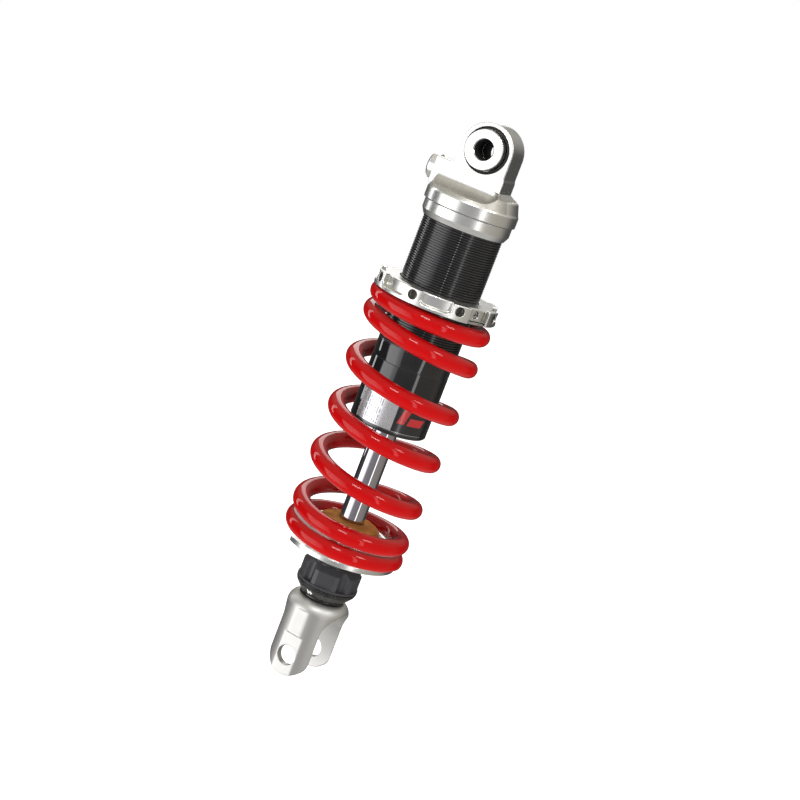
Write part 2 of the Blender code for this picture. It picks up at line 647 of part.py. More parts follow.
def coil_heights():
    """Heights of the wire's centre at equal steps from its top end to its bottom end."""
    count = round(SPRING_TURNS * COIL_POINTS_PER_TURN)
    step = SPRING_TURNS / count
    drops = [0.0]
    for i in range(count):
        drops.append(drops[-1] + coil_pitch((i + 0.5) * step) * step)
    top = TOP_COIL_HEIGHT + drops[COIL_POINTS_PER_TURN // 2]
    return [top - drop for drop in drops]


def coil_spring():
    """The left-hand coil spring, with closed ends ground flat."""
    heights = coil_heights()
    curve = bpy.data.curves.new("coil_spring", "CURVE")
    curve.dimensions = "3D"
    curve.bevel_depth = WIRE_RADIUS
    curve.bevel_resolution = 2
    curve.use_fill_caps = True
    curve.twist_mode = "Z_UP"
    spline = curve.splines.new("POLY")
    spline.points.add(len(heights) - 1)
    for i, (point, height) in enumerate(zip(spline.points, heights)):
        angle = 2 * math.pi * i / COIL_POINTS_PER_TURN
        point.co = (-COIL_RADIUS * math.sin(angle), COIL_RADIUS * math.cos(angle), height, 1.0)
    guide = bpy.data.objects.new("coil_spring", curve)
    spring = mesh_from_curve(guide, RED_COAT)
    reach = SPRING_OUTER_RADIUS * 2
    combine(spring, box("spring_span", (-reach, -reach, SPRING_BOTTOM), (reach, reach, SPRING_TOP)),
            "INTERSECT")


def ring_pocket(index, ring_top):
    """One rounded pocket of the preload ring, open at the top."""
    middle = FIRST_LAND_ANGLE + (index + 0.5) * 360.0 / RING_SEGMENTS
    reach = RING_RADIUS + OVERSHOOT
    half = POCKET_ANGLE / 2
    points = []
    for offset, radius in ((-half - 1.0, reach), (-half, POCKET_FLOOR + POCKET_CORNER),
                           (-half + POCKET_CORNER_ANGLE, POCKET_FLOOR), (0.0, POCKET_FLOOR),
                           (half - POCKET_CORNER_ANGLE, POCKET_FLOOR),
                           (half, POCKET_FLOOR + POCKET_CORNER), (half + 1.0, reach)):
        points.append(tuple(front_direction(middle + offset).xy * radius))
    ledge = RING_BOTTOM + POCKET_LEDGE
    top = ring_top + OVERSHOOT
    pocket = plate("ring_pocket_%d" % index, points, (top - ledge) / 2, upright=False)
    pocket.location.z = (top + ledge) / 2
    return pocket


def radial_cylinder(name, angle, height, radius, inner, outer, look=None, sides=12):
    """A level cylinder that points away from Z at an angle from the front."""
    direction = front_direction(angle)
    return cylinder(name, radius, (*(direction.xy * inner), height), (*(direction.xy * outer), height),
                    look, sides)


def preload():
    """The preload ring, its grub screw and the washer that it presses on the spring."""
    top = RING_BOTTOM + RING_HEIGHT
    inner = THREAD_RADIUS + GAP
    washer_outer = RING_RADIUS - WASHER_INSET
    washer_bottom = RING_BOTTOM + WASHER_LIFT
    washer_top = washer_bottom + WASHER_THICKNESS
    ring("preload_washer", THREAD_RADIUS + WASHER_CLEARANCE, washer_outer,
         washer_bottom, washer_top, STEEL, FINE)
    recess = washer_outer + GAP
    recess_top = washer_top + GAP
    body = turned("preload_ring", [
        (RING_RADIUS - RING_CHAMFER, top), (RING_RADIUS, top - RING_CHAMFER), (RING_RADIUS, RING_BOTTOM),
        (recess, RING_BOTTOM), (recess, recess_top), (inner, recess_top), (inner, top),
    ], ALUMINIUM, FINE)
    hole_height = (recess_top + top) / 2
    segment = 360.0 / RING_SEGMENTS
    outside = RING_RADIUS + OVERSHOOT
    for index in range(RING_SEGMENTS):
        cut(body, ring_pocket(index, top))
    for index in range(RING_SEGMENTS):
        cut(body, radial_cylinder("pin_hole_%d" % index, FIRST_LAND_ANGLE + index * segment, hole_height,
                                  PIN_HOLE_RADIUS, RING_RADIUS - PIN_HOLE_DEPTH, outside))
    grub_angle = FIRST_LAND_ANGLE + (GRUB_POCKET + 0.5) * segment
    cut(body, radial_cylinder("grub_hole", grub_angle, hole_height,
                              GRUB_RADIUS + GAP, inner - OVERSHOOT, outside))
    grub_end = POCKET_FLOOR - GRUB_INSET
    screw = radial_cylinder("preload_grub_screw", grub_angle, hole_height,
                            GRUB_RADIUS, inner + GAP, grub_end, STEEL)
    cut(screw, radial_cylinder("grub_socket", grub_angle, hole_height, GRUB_RADIUS * 0.55,
                               grub_end - GRUB_SOCKET_DEPTH, outside, sides=6))


# ---------------------------------------------------------------- rod and piston

def rod_and_piston(seal_head_top):
    """The hollow rod with the piston, shims, nut and top-out bumper that ride on it."""
    bumper_bottom = seal_head_top + TOP_OUT_CLEARANCE
    bumper_top = bumper_bottom + TOP_OUT_HEIGHT
    rod_shoulder = bumper_top + GAP
    shims_low = rod_shoulder + GAP
    piston_low = shims_low + SHIM_STACK_HEIGHT + GAP
    piston_top = piston_low + PISTON_HEIGHT
    shims_high = piston_top + GAP
    nut_low = shims_high + SHIM_STACK_HEIGHT + GAP
    nut_top = nut_low + PISTON_NUT_HEIGHT
    stud_top = nut_top + STUD_END
    needle_bore_top = piston_low - NEEDLE_END_GAP
    jet = ROD_BORE_RADIUS * JET_SHARE
    rod = turned("piston_rod", [
        (ROD_STUD_RADIUS, stud_top), (ROD_STUD_RADIUS, rod_shoulder), (ROD_RADIUS, rod_shoulder),
        (ROD_RADIUS, KNOB_TOP + GAP), (ROD_SPIGOT_RADIUS, KNOB_TOP + GAP),
        (ROD_SPIGOT_RADIUS, ROD_SPIGOT_BOTTOM), (ROD_BORE_RADIUS, ROD_SPIGOT_BOTTOM),
        (ROD_BORE_RADIUS, needle_bore_top), (jet, needle_bore_top), (jet, stud_top),
    ], CHROME)
    bumper_inner = ROD_RADIUS + GAP
    ring("top_out_bumper", bumper_inner, bumper_inner + TOP_OUT_WALL, bumper_bottom, bumper_top, RUBBER)
    shim_stack("rebound_shims", shims_low, shims_low + SHIM_STACK_HEIGHT)
    shim_stack("compression_shims", shims_high + SHIM_STACK_HEIGHT, shims_high)
    piston(piston_low, piston_top)
    nut = cylinder("piston_nut", PISTON_NUT_WIDTH / math.sqrt(3), (0, 0, nut_low), (0, 0, nut_top), STEEL, 6)
    cut(nut, cylinder("nut_bore", ROD_STUD_RADIUS + GAP, (0, 0, nut_low - OVERSHOOT),
                      (0, 0, nut_top + OVERSHOOT)))
    needle_top = needle_bore_top - NEEDLE_TRAVEL - NEEDLE_END_GAP
    needle_bottom = ROD_SPIGOT_BOTTOM + NEEDLE_END_GAP
    needle = turned("rebound_needle", [
        (0.0, needle_top), (jet * 0.7, needle_top), (NEEDLE_RADIUS, needle_top - NEEDLE_TIP),
        (NEEDLE_RADIUS, needle_bottom), (0.0, needle_bottom),
    ], STEEL, COARSE)
    slot_half = CROSS_PIN_RADIUS + GAP
    reach = STEM_RADIUS + OVERSHOOT
    slot = box("cross_pin_slot", (-reach, -slot_half, CROSS_PIN_HEIGHT - slot_half),
               (reach, slot_half, CROSS_PIN_HEIGHT + NEEDLE_TRAVEL + slot_half))
    cut(rod, slot)
    cut(needle, cylinder("needle_cross_hole", CROSS_PIN_RADIUS + GAP / 2,
                         (-reach, 0, CROSS_PIN_HEIGHT), (reach, 0, CROSS_PIN_HEIGHT), sides=12))
    half_pin = STEM_RADIUS - GAP
    cylinder("adjuster_cross_pin", CROSS_PIN_RADIUS, (-half_pin, 0, CROSS_PIN_HEIGHT),
             (half_pin, 0, CROSS_PIN_HEIGHT), STEEL, 12)
    return slot


def shim_stack(name, small_end, large_end):
    """Three steps of shims on the rod's stud, the largest at large_end."""
    step = (large_end - small_end) / 3
    outer = BORE_RADIUS - SHIM_INSET
    inner = ROD_STUD_RADIUS + GAP
    outline = [(outer, large_end), (outer, large_end - step), (outer - SHIM_STEP, large_end - step),
               (outer - SHIM_STEP, small_end + step), (outer - 2 * SHIM_STEP, small_end + step),
               (outer - 2 * SHIM_STEP, small_end), (inner, small_end), (inner, large_end)]
    if large_end < small_end:
        outline.reverse()
    turned(name, outline, STEEL)


def piston(low, top):
    """The ported piston and the band in its groove."""
    outer = BORE_RADIUS - GAP
    groove = outer - PISTON_BAND_THICKNESS - GAP
    band_low = low + (PISTON_HEIGHT - PISTON_BAND_HEIGHT) / 2
    band_high = band_low + PISTON_BAND_HEIGHT
    inner = ROD_STUD_RADIUS + GAP
    body = turned("piston", [
        (outer, top), (outer, band_high + GAP), (groove, band_high + GAP), (groove, band_low - GAP),
        (outer, band_low - GAP), (outer, low), (inner, low), (inner, top),
    ], ALUMINIUM)
    port_circle = (BORE_RADIUS - SHIM_INSET + groove) / 2
    for index in range(PISTON_PORTS):
        center = front_direction(index * 360.0 / PISTON_PORTS + PISTON_PORT_ANGLE).xy * port_circle
        cut(body, cylinder("piston_port_%d" % index, PISTON_PORT_RADIUS, (*center, low - OVERSHOOT),
                           (*center, top + OVERSHOOT), sides=12))
    ring("piston_band", groove + GAP / 2, outer, band_low, band_high, BLACK_PLASTIC)


def floating_piston():
    """The piston that parts the gas from the oil, with its o-ring."""
    low = FLOATING_PISTON_BOTTOM
    top = low + FLOATING_PISTON_HEIGHT
    outer = BORE_RADIUS - GAP
    middle = (low + top) / 2
    groove_half = O_RING_RADIUS + GAP
    groove = outer - 2 * O_RING_RADIUS - GAP
    recess = outer - FLOATING_PISTON_RECESS
    turned("floating_piston", [
        (0.0, top - FLOATING_PISTON_RECESS), (recess, top - FLOATING_PISTON_RECESS), (recess, top),
        (outer, top), (outer, middle + groove_half), (groove, middle + groove_half),
        (groove, middle - groove_half), (outer, middle - groove_half), (outer, low), (0.0, low),
    ], ALUMINIUM)
    o_ring("floating_piston_o_ring", groove + GAP + O_RING_RADIUS, middle)


# ---------------------------------------------------------------- spring seat and bump stop

def lower_spring_seat():
    """The lower spring seat: a slotted flange with a wall that centres the spring."""
    wall_outer = SPRING_INNER_RADIUS - 2 * GAP
    wall_inner = wall_outer - SEAT_WALL_THICKNESS
    wall_top = SEAT_TOP + SEAT_WALL_HEIGHT
    flange_outer = SPRING_OUTER_RADIUS - SEAT_FLANGE_INSET
    bore = ROD_RADIUS + GAP
    spigot_bore = bore + SEAT_COLLAR_WALL - SEAT_COLLAR_STEP + GAP
    spigot_top = SEAT_BOTTOM + SEAT_COLLAR_SPIGOT + GAP
    seat = turned("lower_spring_seat", [
        (wall_inner + SEAT_WALL_CHAMFER, wall_top), (wall_outer, wall_top - SEAT_WALL_CHAMFER),
        (wall_outer, SEAT_TOP), (flange_outer, SEAT_TOP), (flange_outer, SEAT_BOTTOM),
        (spigot_bore, SEAT_BOTTOM), (spigot_bore, spigot_top), (bore, spigot_top), (bore, SEAT_TOP),
        (wall_inner, SEAT_TOP), (wall_inner, wall_top),
    ], ALUMINIUM, FINE)
    reach = flange_outer + OVERSHOOT
    low = SEAT_BOTTOM - OVERSHOOT
    high = wall_top + OVERSHOOT
    mouth = box("seat_mouth", (BUMP_STOP_RADIUS, -SEAT_SLOT_HALF_WIDTH, low),
                (reach, SEAT_SLOT_HALF_WIDTH, high), turn=SEAT_SLOT_ANGLE)
    throat = box("seat_throat", (0, -bore, low), (reach, bore, high), turn=SEAT_SLOT_ANGLE)
    cut(seat, mouth, throat)


def seat_collar():
    """The collar on the rod that the spring seat stands on, with a spigot that centres it."""
    bore = ROD_RADIUS + GAP
    outer = bore + SEAT_COLLAR_WALL
    flange = SEAT_BOTTOM - GAP
    spigot_top = SEAT_BOTTOM + SEAT_COLLAR_SPIGOT
    turned("seat_collar", [
        (outer - SEAT_COLLAR_STEP, spigot_top), (outer - SEAT_COLLAR_STEP, flange), (outer, flange),
        (outer, KNOB_TOP + GAP), (bore, KNOB_TOP + GAP), (bore, spigot_top),
    ], ALUMINIUM)


def bump_stop():
    """The foam bump stop and the washer under it."""
    washer_low = SEAT_TOP + GAP
    washer_top = washer_low + BUMP_WASHER_THICKNESS
    bore = ROD_RADIUS + GAP
    ring("bump_stop_washer", bore, BUMP_STOP_RADIUS - BUMP_WASHER_INSET, washer_low, washer_top, STEEL)
    low = washer_top + GAP
    top = low + BUMP_STOP_HEIGHT
    rounding = BUMP_STOP_ROUNDING
    crown = arc((BUMP_STOP_RADIUS - rounding, top - rounding), rounding, 60.0, 0.0, 4)
    turned("bump_stop", [(bore, top), *crown, (BUMP_STOP_RADIUS - BUMP_STOP_TAPER, low), (bore, low)], FOAM)


# ---------------------------------------------------------------- knob and clevis

def rebound_knob():
    """The five-lobed knob that turns on the clevis stem and moves the needle."""
    points = []
    floor = KNOB_RADIUS - KNOB_RECESS_DEPTH
    shoulder = KNOB_RADIUS * KNOB_FACET_SHARE
    half_lobe = 180.0 / KNOB_LOBES
    for lobe in range(KNOB_LOBES):
        middle = KNOB_FIRST_LOBE + lobe * 2 * half_lobe
        for offset, radius in ((-2 * KNOB_FACET_ANGLE, shoulder), (-KNOB_FACET_ANGLE, KNOB_RADIUS),
                               (KNOB_FACET_ANGLE, KNOB_RADIUS), (2 * KNOB_FACET_ANGLE, shoulder),
                               (half_lobe - KNOB_RECESS_ANGLE, floor), (half_lobe + KNOB_RECESS_ANGLE, floor)):
            points.append(tuple(front_direction(middle + offset).xy * radius))
    knob = plate("rebound_knob", points, KNOB_HEIGHT / 2, BLACK_PLASTIC, upright=False)
    knob.location.z = KNOB_BOTTOM + KNOB_HEIGHT / 2
    rim_top = KNOB_BOTTOM + KNOB_RIM_HEIGHT
    bore = STEM_RADIUS + GAP
    combine(knob, ring("knob_rim", bore, KNOB_RIM_RADIUS, KNOB_BOTTOM, rim_top), "UNION")
    envelope = turned("knob_envelope", [
        (0.0, KNOB_TOP), (KNOB_RADIUS - KNOB_BEVEL, KNOB_TOP),
        (KNOB_RADIUS - KNOB_BEVEL_START, KNOB_TOP - KNOB_BEVEL),
        (KNOB_RIM_RADIUS, rim_top), (KNOB_RIM_RADIUS, KNOB_BOTTOM), (0.0, KNOB_BOTTOM),
    ], None, FINE)
    combine(knob, envelope, "INTERSECT")
    cut(knob, cylinder("knob_bore", bore, (0, 0, KNOB_BOTTOM - OVERSHOOT), (0, 0, KNOB_TOP + OVERSHOOT)))
    on_joint(knob, (0, 0, KNOB_BOTTOM))


def indicator_ring():
    """The conical ring under the knob that carries the turning marks."""
    top = INDICATOR_BOTTOM + INDICATOR_HEIGHT
    bore = STEM_RADIUS + GAP
    small = KNOB_RIM_RADIUS - INDICATOR_TAPER
    turned("indicator_ring", [
        (KNOB_RIM_RADIUS, top), (KNOB_RIM_RADIUS, top - INDICATOR_EDGE),
        (small + INDICATOR_EDGE, INDICATOR_BOTTOM + INDICATOR_EDGE), (small, INDICATOR_BOTTOM),
        (bore, INDICATOR_BOTTOM), (bore, top),
    ], BLACK_PLASTIC, FINE)


def clevis(pin_slot):
    """The clevis: a turned blank with a U slot, two flats a side, bolt holes and a hollow stem."""
    shoulder_center = (CLEVIS_RADIUS - CLEVIS_SHOULDER_RADIUS, CLEVIS_SHOULDER_TOP - CLEVIS_SHOULDER_RADIUS)
    shoulder = arc(shoulder_center, CLEVIS_SHOULDER_RADIUS, 90.0, 0.0, 6)
    bore = ROD_SPIGOT_RADIUS + GAP
    bore_bottom = CLEVIS_SLOT_TOP + CLEVIS_BORE_CROWN
    body = turned("clevis", [
        (STEM_RADIUS, KNOB_TOP), (STEM_RADIUS, CLEVIS_SHOULDER_TOP), *shoulder, (CLEVIS_RADIUS, 0.0),
        (0.0, 0.0), (0.0, bore_bottom), (bore, bore_bottom + CLEVIS_DRILL_POINT), (bore, KNOB_TOP),
    ], SATIN_ALUMINIUM, FINE)
    arch_center = CLEVIS_SLOT_TOP - CLEVIS_SLOT_HALF_WIDTH
    reach = CLEVIS_RADIUS + OVERSHOOT
    low = -OVERSHOOT
    slot_points = [(-CLEVIS_SLOT_HALF_WIDTH, low), (CLEVIS_SLOT_HALF_WIDTH, low)]
    slot_points += arc((0.0, arch_center), CLEVIS_SLOT_HALF_WIDTH, 0.0, 180.0, 14)
    slot = plate("clevis_slot", slot_points, reach)
    slot.rotation_euler.z = math.radians(90 + CLEVIS_TURN)
    end_points = arc((0.0, CLEVIS_END_RADIUS), CLEVIS_END_RADIUS, 180.0, 360.0, 14)
    end_points += [(reach, CLEVIS_END_RADIUS), (reach, KNOB_TOP + OVERSHOOT),
                   (-reach, KNOB_TOP + OVERSHOOT), (-reach, CLEVIS_END_RADIUS)]
    ends = plate("clevis_ends", end_points, reach)
    ends.rotation_euler.z = math.radians(CLEVIS_TURN)
    combine(body, ends, "INTERSECT")
    cut(body, slot)
    lower_flat = CLEVIS_RADIUS - LOWER_FLAT_DEPTH
    upper_flat = CLEVIS_RADIUS - UPPER_FLAT_DEPTH
    for side in (0.0, 180.0):
        turn = CLEVIS_TURN + side
        cut(body, box("lower_flat", (-reach, -reach, low), (reach, -lower_flat, FLAT_STEP_HEIGHT), turn=turn))
        cut(body, box("upper_flat", (-reach, -reach, FLAT_STEP_HEIGHT - OVERSHOOT),
                      (reach, -upper_flat, CLEVIS_SHOULDER_TOP), turn=turn))
    hole_start = about_z((0, -reach, CLEVIS_HOLE_HEIGHT), CLEVIS_TURN)
    hole_end = about_z((0, reach, CLEVIS_HOLE_HEIGHT), CLEVIS_TURN)
    cut(body, cylinder("clevis_holes", CLEVIS_HOLE_RADIUS, hole_start, hole_end, sides=FINE))
    cut(body, pin_slot)


def main():
    """Builds every piece of the shock absorber."""
    clear_scene()
    mount_head()
    head_lock_ring()
    gas_valve()
    eye_bearing()
    threaded_body()
    body_label()
    seal_head_top = seal_head()
    coil_spring()
    preload()
    pin_slot = rod_and_piston(seal_head_top)
    floating_piston()
    lower_spring_seat()
    seat_collar()
    bump_stop()
    rebound_knob()
    indicator_ring()
    clevis(pin_slot)
    for obj in parts.objects:
        smooth(obj.data)


main()
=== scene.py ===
"""Looks of a rear motorcycle shock absorber, built round its CAD frame as a Blender add-on's operators."""

import json
import math

import bmesh
import bpy
import numpy as np
from bpy.props import FloatProperty, FloatVectorProperty, IntProperty, PointerProperty
from mathutils import Matrix, Vector


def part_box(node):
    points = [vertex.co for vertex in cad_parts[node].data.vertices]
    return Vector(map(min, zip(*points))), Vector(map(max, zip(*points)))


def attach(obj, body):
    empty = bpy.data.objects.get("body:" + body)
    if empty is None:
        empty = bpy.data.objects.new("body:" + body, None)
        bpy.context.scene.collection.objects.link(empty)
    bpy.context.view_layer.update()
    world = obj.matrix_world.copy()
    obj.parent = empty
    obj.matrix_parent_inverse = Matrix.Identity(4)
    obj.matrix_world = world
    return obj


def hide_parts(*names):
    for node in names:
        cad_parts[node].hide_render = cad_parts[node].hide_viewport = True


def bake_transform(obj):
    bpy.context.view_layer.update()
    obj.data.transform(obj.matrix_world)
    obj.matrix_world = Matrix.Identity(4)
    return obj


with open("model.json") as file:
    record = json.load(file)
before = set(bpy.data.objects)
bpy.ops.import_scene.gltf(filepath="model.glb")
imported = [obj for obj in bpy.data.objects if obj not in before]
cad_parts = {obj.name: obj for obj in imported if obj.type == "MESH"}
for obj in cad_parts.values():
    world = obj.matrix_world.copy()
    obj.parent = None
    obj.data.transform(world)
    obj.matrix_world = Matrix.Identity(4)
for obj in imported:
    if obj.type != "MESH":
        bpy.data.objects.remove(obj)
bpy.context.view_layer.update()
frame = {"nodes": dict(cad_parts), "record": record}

bl_info = {
    "name": "Rear Shock Absorber Looks",
    "version": (1, 0, 0),
    "blender": (4, 5, 0),
    "location": "3D View > Sidebar > Shock",
    "description": "Builds the finished pieces and materials of a coil-over shock absorber",
    "category": "Object",
}

MM = 0.001

BODY_LOW, BODY_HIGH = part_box("threaded_body")
HEAD_LOW, HEAD_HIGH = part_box("mount_head")
LOCK_LOW, LOCK_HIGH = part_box("head_lock_ring")
CAP_LOW, CAP_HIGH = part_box("gas_valve_cap")
COLLAR_LOW, COLLAR_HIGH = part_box("eye_collar_front")
SEAL_LOW, SEAL_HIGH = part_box("eye_seal_front")
SPRING_LOW, SPRING_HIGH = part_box("coil_spring")
RING_LOW, RING_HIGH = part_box("preload_ring")
ROD_LOW, ROD_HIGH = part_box("piston_rod")
SEAT_LOW, SEAT_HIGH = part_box("lower_spring_seat")
SEAT_COLLAR_LOW, SEAT_COLLAR_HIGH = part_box("seat_collar")
STOP_LOW, STOP_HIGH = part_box("bump_stop")
KNOB_LOW, KNOB_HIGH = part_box("rebound_knob")
MARK_RING_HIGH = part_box("indicator_ring")[1]
CLEVIS_LOW, CLEVIS_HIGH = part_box("clevis")
LABEL_LOW, LABEL_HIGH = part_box("body_label")
CLEVIS_SHOULDER = 51.5 * MM
RING_POCKET = 3.8 * MM
COLLAR_BORE = 6.05 * MM


# Settings

def length(name, description, millimetres):
    """A length setting with its default in millimetres."""
    return FloatProperty(name=name, description=description, default=millimetres * MM, unit="LENGTH")


def turns_of(name, description, default):
    """A setting in turns of the spring."""
    return FloatProperty(name=name, description=description, default=default)


def colour(name, description, default):
    """A colour setting."""
    return FloatVectorProperty(name=name, description=description, subtype="COLOR", size=3, default=default)


class ShockSizes(bpy.types.PropertyGroup):
    """Sizes of the details that the frame doesn't hold."""

    edge: length("Edge", "Rounding of a machined edge", 0.5)
    grid: length("Grid", "Spacing of the grid for milled pieces", 0.45)
    eye_radius: length("Eye radius", "Outer radius of the eye", 16.6)
    eye_bore: length("Eye bore", "Radius of the eye's bore", 13.9)
    slab: length("Slab", "Thickness of the eye and its slab", 21.0)
    thread_pitch: length("Thread pitch", "Rise of the body's thread in one turn", 1.5)
    thread_depth: length("Thread depth", "Depth of the body's thread", 0.8)
    thread_end: length("Thread end", "Height where the thread stops", 220.5)
    smooth_radius: length("Smooth radius", "Radius of the body under its thread", 24.4)
    wire_radius: length("Wire radius", "Radius of the spring's wire", 5.5)
    turns: turns_of("Turns", "Turns of the spring, with its closed ends", 7.0)
    top_closed: turns_of("Top closed turns", "Turns until the spring opens", 1.33)
    bottom_closed: turns_of("Bottom closed turns", "Turns from where the spring closes", 1.58)
    pitch_change: turns_of("Pitch change", "Turns over which the pitch changes", 0.4)
    top_coil: length("Top coil", "Height of the wire's centre half a turn from its top end", 243.9)
    closed_pitch: length("Closed pitch", "Drop of a closed coil in one turn", 11.3)
    open_pitch: length("Open pitch", "Drop of an open coil in one turn", 31.6)
    knob_lobes: IntProperty(name="Knob lobes", description="Number of lobes on the rebound knob", default=5)


class ShockColours(bpy.types.PropertyGroup):
    """Colours of the finishes."""

    coat: colour("Spring coat", "Powder coat of the spring", (0.47, 0.001, 0.002))
    aluminium: colour("Aluminium", "Clear anodised aluminium", (0.88, 0.88, 0.87))
    satin: colour("Satin aluminium", "Blasted aluminium of the clevis", (0.64, 0.635, 0.62))
    # Painted shade: the pockets' colour is darker than the aluminium to stand in for their shade.
    milled: colour("Milled aluminium", "Rough-milled aluminium of the pockets", (0.62, 0.60, 0.55))
    black: colour("Black anodising", "Black of the damper body", (0.008, 0.008, 0.010))
    steel: colour("Steel", "Ground steel", (0.66, 0.66, 0.66))
    chrome: colour("Chrome", "Hard chrome of the rod", (0.52, 0.49, 0.54))
    foam: colour("Foam", "Foam of the bump stop", (0.56, 0.27, 0.065))
    plastic: colour("Knob", "Charcoal of the knob", (0.035, 0.034, 0.040))
    rubber: colour("Rubber", "Seals and o-rings", (0.012, 0.012, 0.012))
    bronze: colour("Bronze", "Rod guide bush", (0.55, 0.36, 0.16))
    label_red: colour("Label red", "Red bars of the label", (0.55, 0.01, 0.015))


def sizes():
    """The scene's size settings."""
    return bpy.context.scene.shock_sizes


def colours():
    """The scene's colour settings."""
    return bpy.context.scene.shock_colours


def shade(color, factor):
    """A colour made darker or lighter."""
    return [factor * part for part in color]


# Shader maths

class Value:
    """A socket that takes part in Python expressions, each of which adds a Math node."""

    def __init__(self, graph, socket):
        self.graph = graph
        self.socket = socket

    def math(self, operation, *others):
        """A Math node of this value and others."""
        return self.graph.node("ShaderNodeMath", {"operation": operation}, dict(enumerate((self, *others))))

    def __add__(self, other):
        return self.math("ADD", other)

    __radd__ = __add__

    def __sub__(self, other):
        return self.math("SUBTRACT", other)

    def __rsub__(self, other):
        return self.graph.node("ShaderNodeMath", {"operation": "SUBTRACT"}, {0: other, 1: self})

    def __mul__(self, other):
        return self.math("MULTIPLY", other)

    __rmul__ = __mul__

    def __truediv__(self, other):
        return self.math("DIVIDE", other)

    def __lt__(self, other):
        return self.math("LESS_THAN", other)

    def __gt__(self, other):
        return self.math("GREATER_THAN", other)


class Graph:
    """A node tree, with short ways to add nodes to it."""

    def __init__(self, tree):
        self.nodes = tree.nodes
        self.links = tree.links

    def fill(self, socket, value):
        """Links a Value to a socket, or sets the socket to a plain value."""
        if isinstance(value, Value):
            self.links.new(value.socket, socket)
        else:
            socket.default_value = value

    def node(self, kind, settings=None, values=None, output=0):
        """A node of this kind: its settings come first, then the values or links of its inputs."""
        node = self.nodes.new(kind)
        for name, setting in (settings or {}).items():
            if name == "stops":
                self.stops(node.color_ramp, setting)
            else:
                setattr(node, name, setting)
        for key, value in (values or {}).items():
            self.fill(node.inputs[key], value)
        return Value(self, node.outputs[output])

    def stops(self, ramp, stops):
        """Sets a colour ramp's stops from (position, grey or colour) pairs."""
        while len(ramp.elements) < len(stops):
            ramp.elements.new(0.5)
        for element, (position, color) in zip(ramp.elements, stops):
            element.position = position
            element.color = (color, color, color, 1.0) if isinstance(color, float) else (*color, 1.0)

    def parts(self, vector):
        """The three parts of a vector."""
        split = self.node("ShaderNodeSeparateXYZ", values={0: vector})
        return [Value(self, output) for output in split.socket.node.outputs]

    def ramp(self, value, stops):
        """A colour ramp of a value."""
        return self.node("ShaderNodeValToRGB", {"stops": stops}, {0: value})

    def mix(self, share, first, second):
        """A mix of two colours."""
        node = self.nodes.new("ShaderNodeMix")
        node.data_type = "RGBA"
        for key, value in ((0, share), (6, first), (7, second)):
            if not isinstance(value, Value) and key:
                value = (*value, 1.0)
            self.fill(node.inputs[key], value)
        return Value(self, node.outputs[2])


class Finish(Graph):
    """A material with a Principled shader."""

    def __init__(self, name, color, roughness, metallic=0.0, constants=None):
        self.material = bpy.data.materials.new(name)
        self.material.use_nodes = True
        super().__init__(self.material.node_tree)
        self.shader = self.nodes["Principled BSDF"]
        self.set("Base Color", (*color, 1.0))
        self.set("Roughness", roughness)
        self.set("Metallic", metallic)
        for name_of_input, value in (constants or {}).items():
            self.set(name_of_input, value)

    def set(self, name, value):
        """Sets or links one input of the shader."""
        self.fill(self.shader.inputs[name], value)

    def place(self):
        """The surface point's place in the object, in metres."""
        return self.node("ShaderNodeTexCoord", output=3)

    def axes(self):
        """The three parts of the surface point's place."""
        return self.parts(self.place())

    def noise(self, size, detail=2.0, roughness=0.5, stretch=None):
        """Noise from 0 to 1 whose grains are this size in metres, stretched along an axis on request."""
        where = self.place()
        if stretch:
            where = self.node("ShaderNodeMapping", values={"Vector": where, "Scale": stretch})
        return self.node("ShaderNodeTexNoise", values={
            "Vector": where, "Scale": 1.0 / size, "Detail": detail, "Roughness": roughness})

    def bump(self, height, depth):
        """Feeds a Bump of this height, in metres of depth, to the shader's normal."""
        self.set("Normal", self.node("ShaderNodeBump", values={
            "Height": height, "Distance": depth, "Strength": 1.0}))

    def vary_roughness(self, value, low, high):
        """Drives the roughness from low to high."""
        self.set("Roughness", value * (high - low) + low)

    def clouded(self, share, color, factor):
        """A colour that clouds over towards a darker or lighter one."""
        return self.mix(share, color, shade(color, factor))


# Finishes

def machined_aluminium():
    """Clear anodised aluminium with fine tool lines round Z."""
    finish = Finish("machined_aluminium", colours().aluminium, 0.2, 1.0)
    cloud = finish.noise(6 * MM, 3.0)
    fine = finish.noise(0.25 * MM, 2.0, stretch=(0.08, 0.08, 1.0))
    finish.vary_roughness(cloud * 0.5 + fine * 0.5, 0.22, 0.36)
    finish.set("Base Color", finish.clouded(cloud * 0.5, colours().aluminium, 0.93))
    finish.bump(fine, 0.0015 * MM)
    return finish.material


def milled_and_shaded_head():
    """The head's aluminium, streaked and rougher where the pockets beside its slab are milled, and darker there
    as painted shade.
    """
    finish = Finish("milled_and_shaded_head", colours().aluminium, 0.25, 1.0)
    _, y, z = finish.axes()
    cloud = finish.noise(6 * MM, 3.0)
    streak = finish.noise(0.5 * MM, 2.0, stretch=(1.0, 0.06, 0.06))
    pocket = (y.math("ABSOLUTE") > (sizes().slab / 2 + 0.25 * MM)) * (z > (HEAD_LOW.z + 7.5 * MM))
    bright = finish.clouded(cloud * 0.5, colours().aluminium, 0.93)
    # Painted shade: the pockets are darker than the aluminium, with real milling streaks through it.
    shaded_milled_pocket = finish.mix(streak, colours().milled, (0.44, 0.425, 0.39))
    finish.set("Base Color", finish.mix(pocket, bright, shaded_milled_pocket))
    finish.set("Roughness", cloud * 0.08 + 0.24 + pocket * 0.20)
    return finish.material


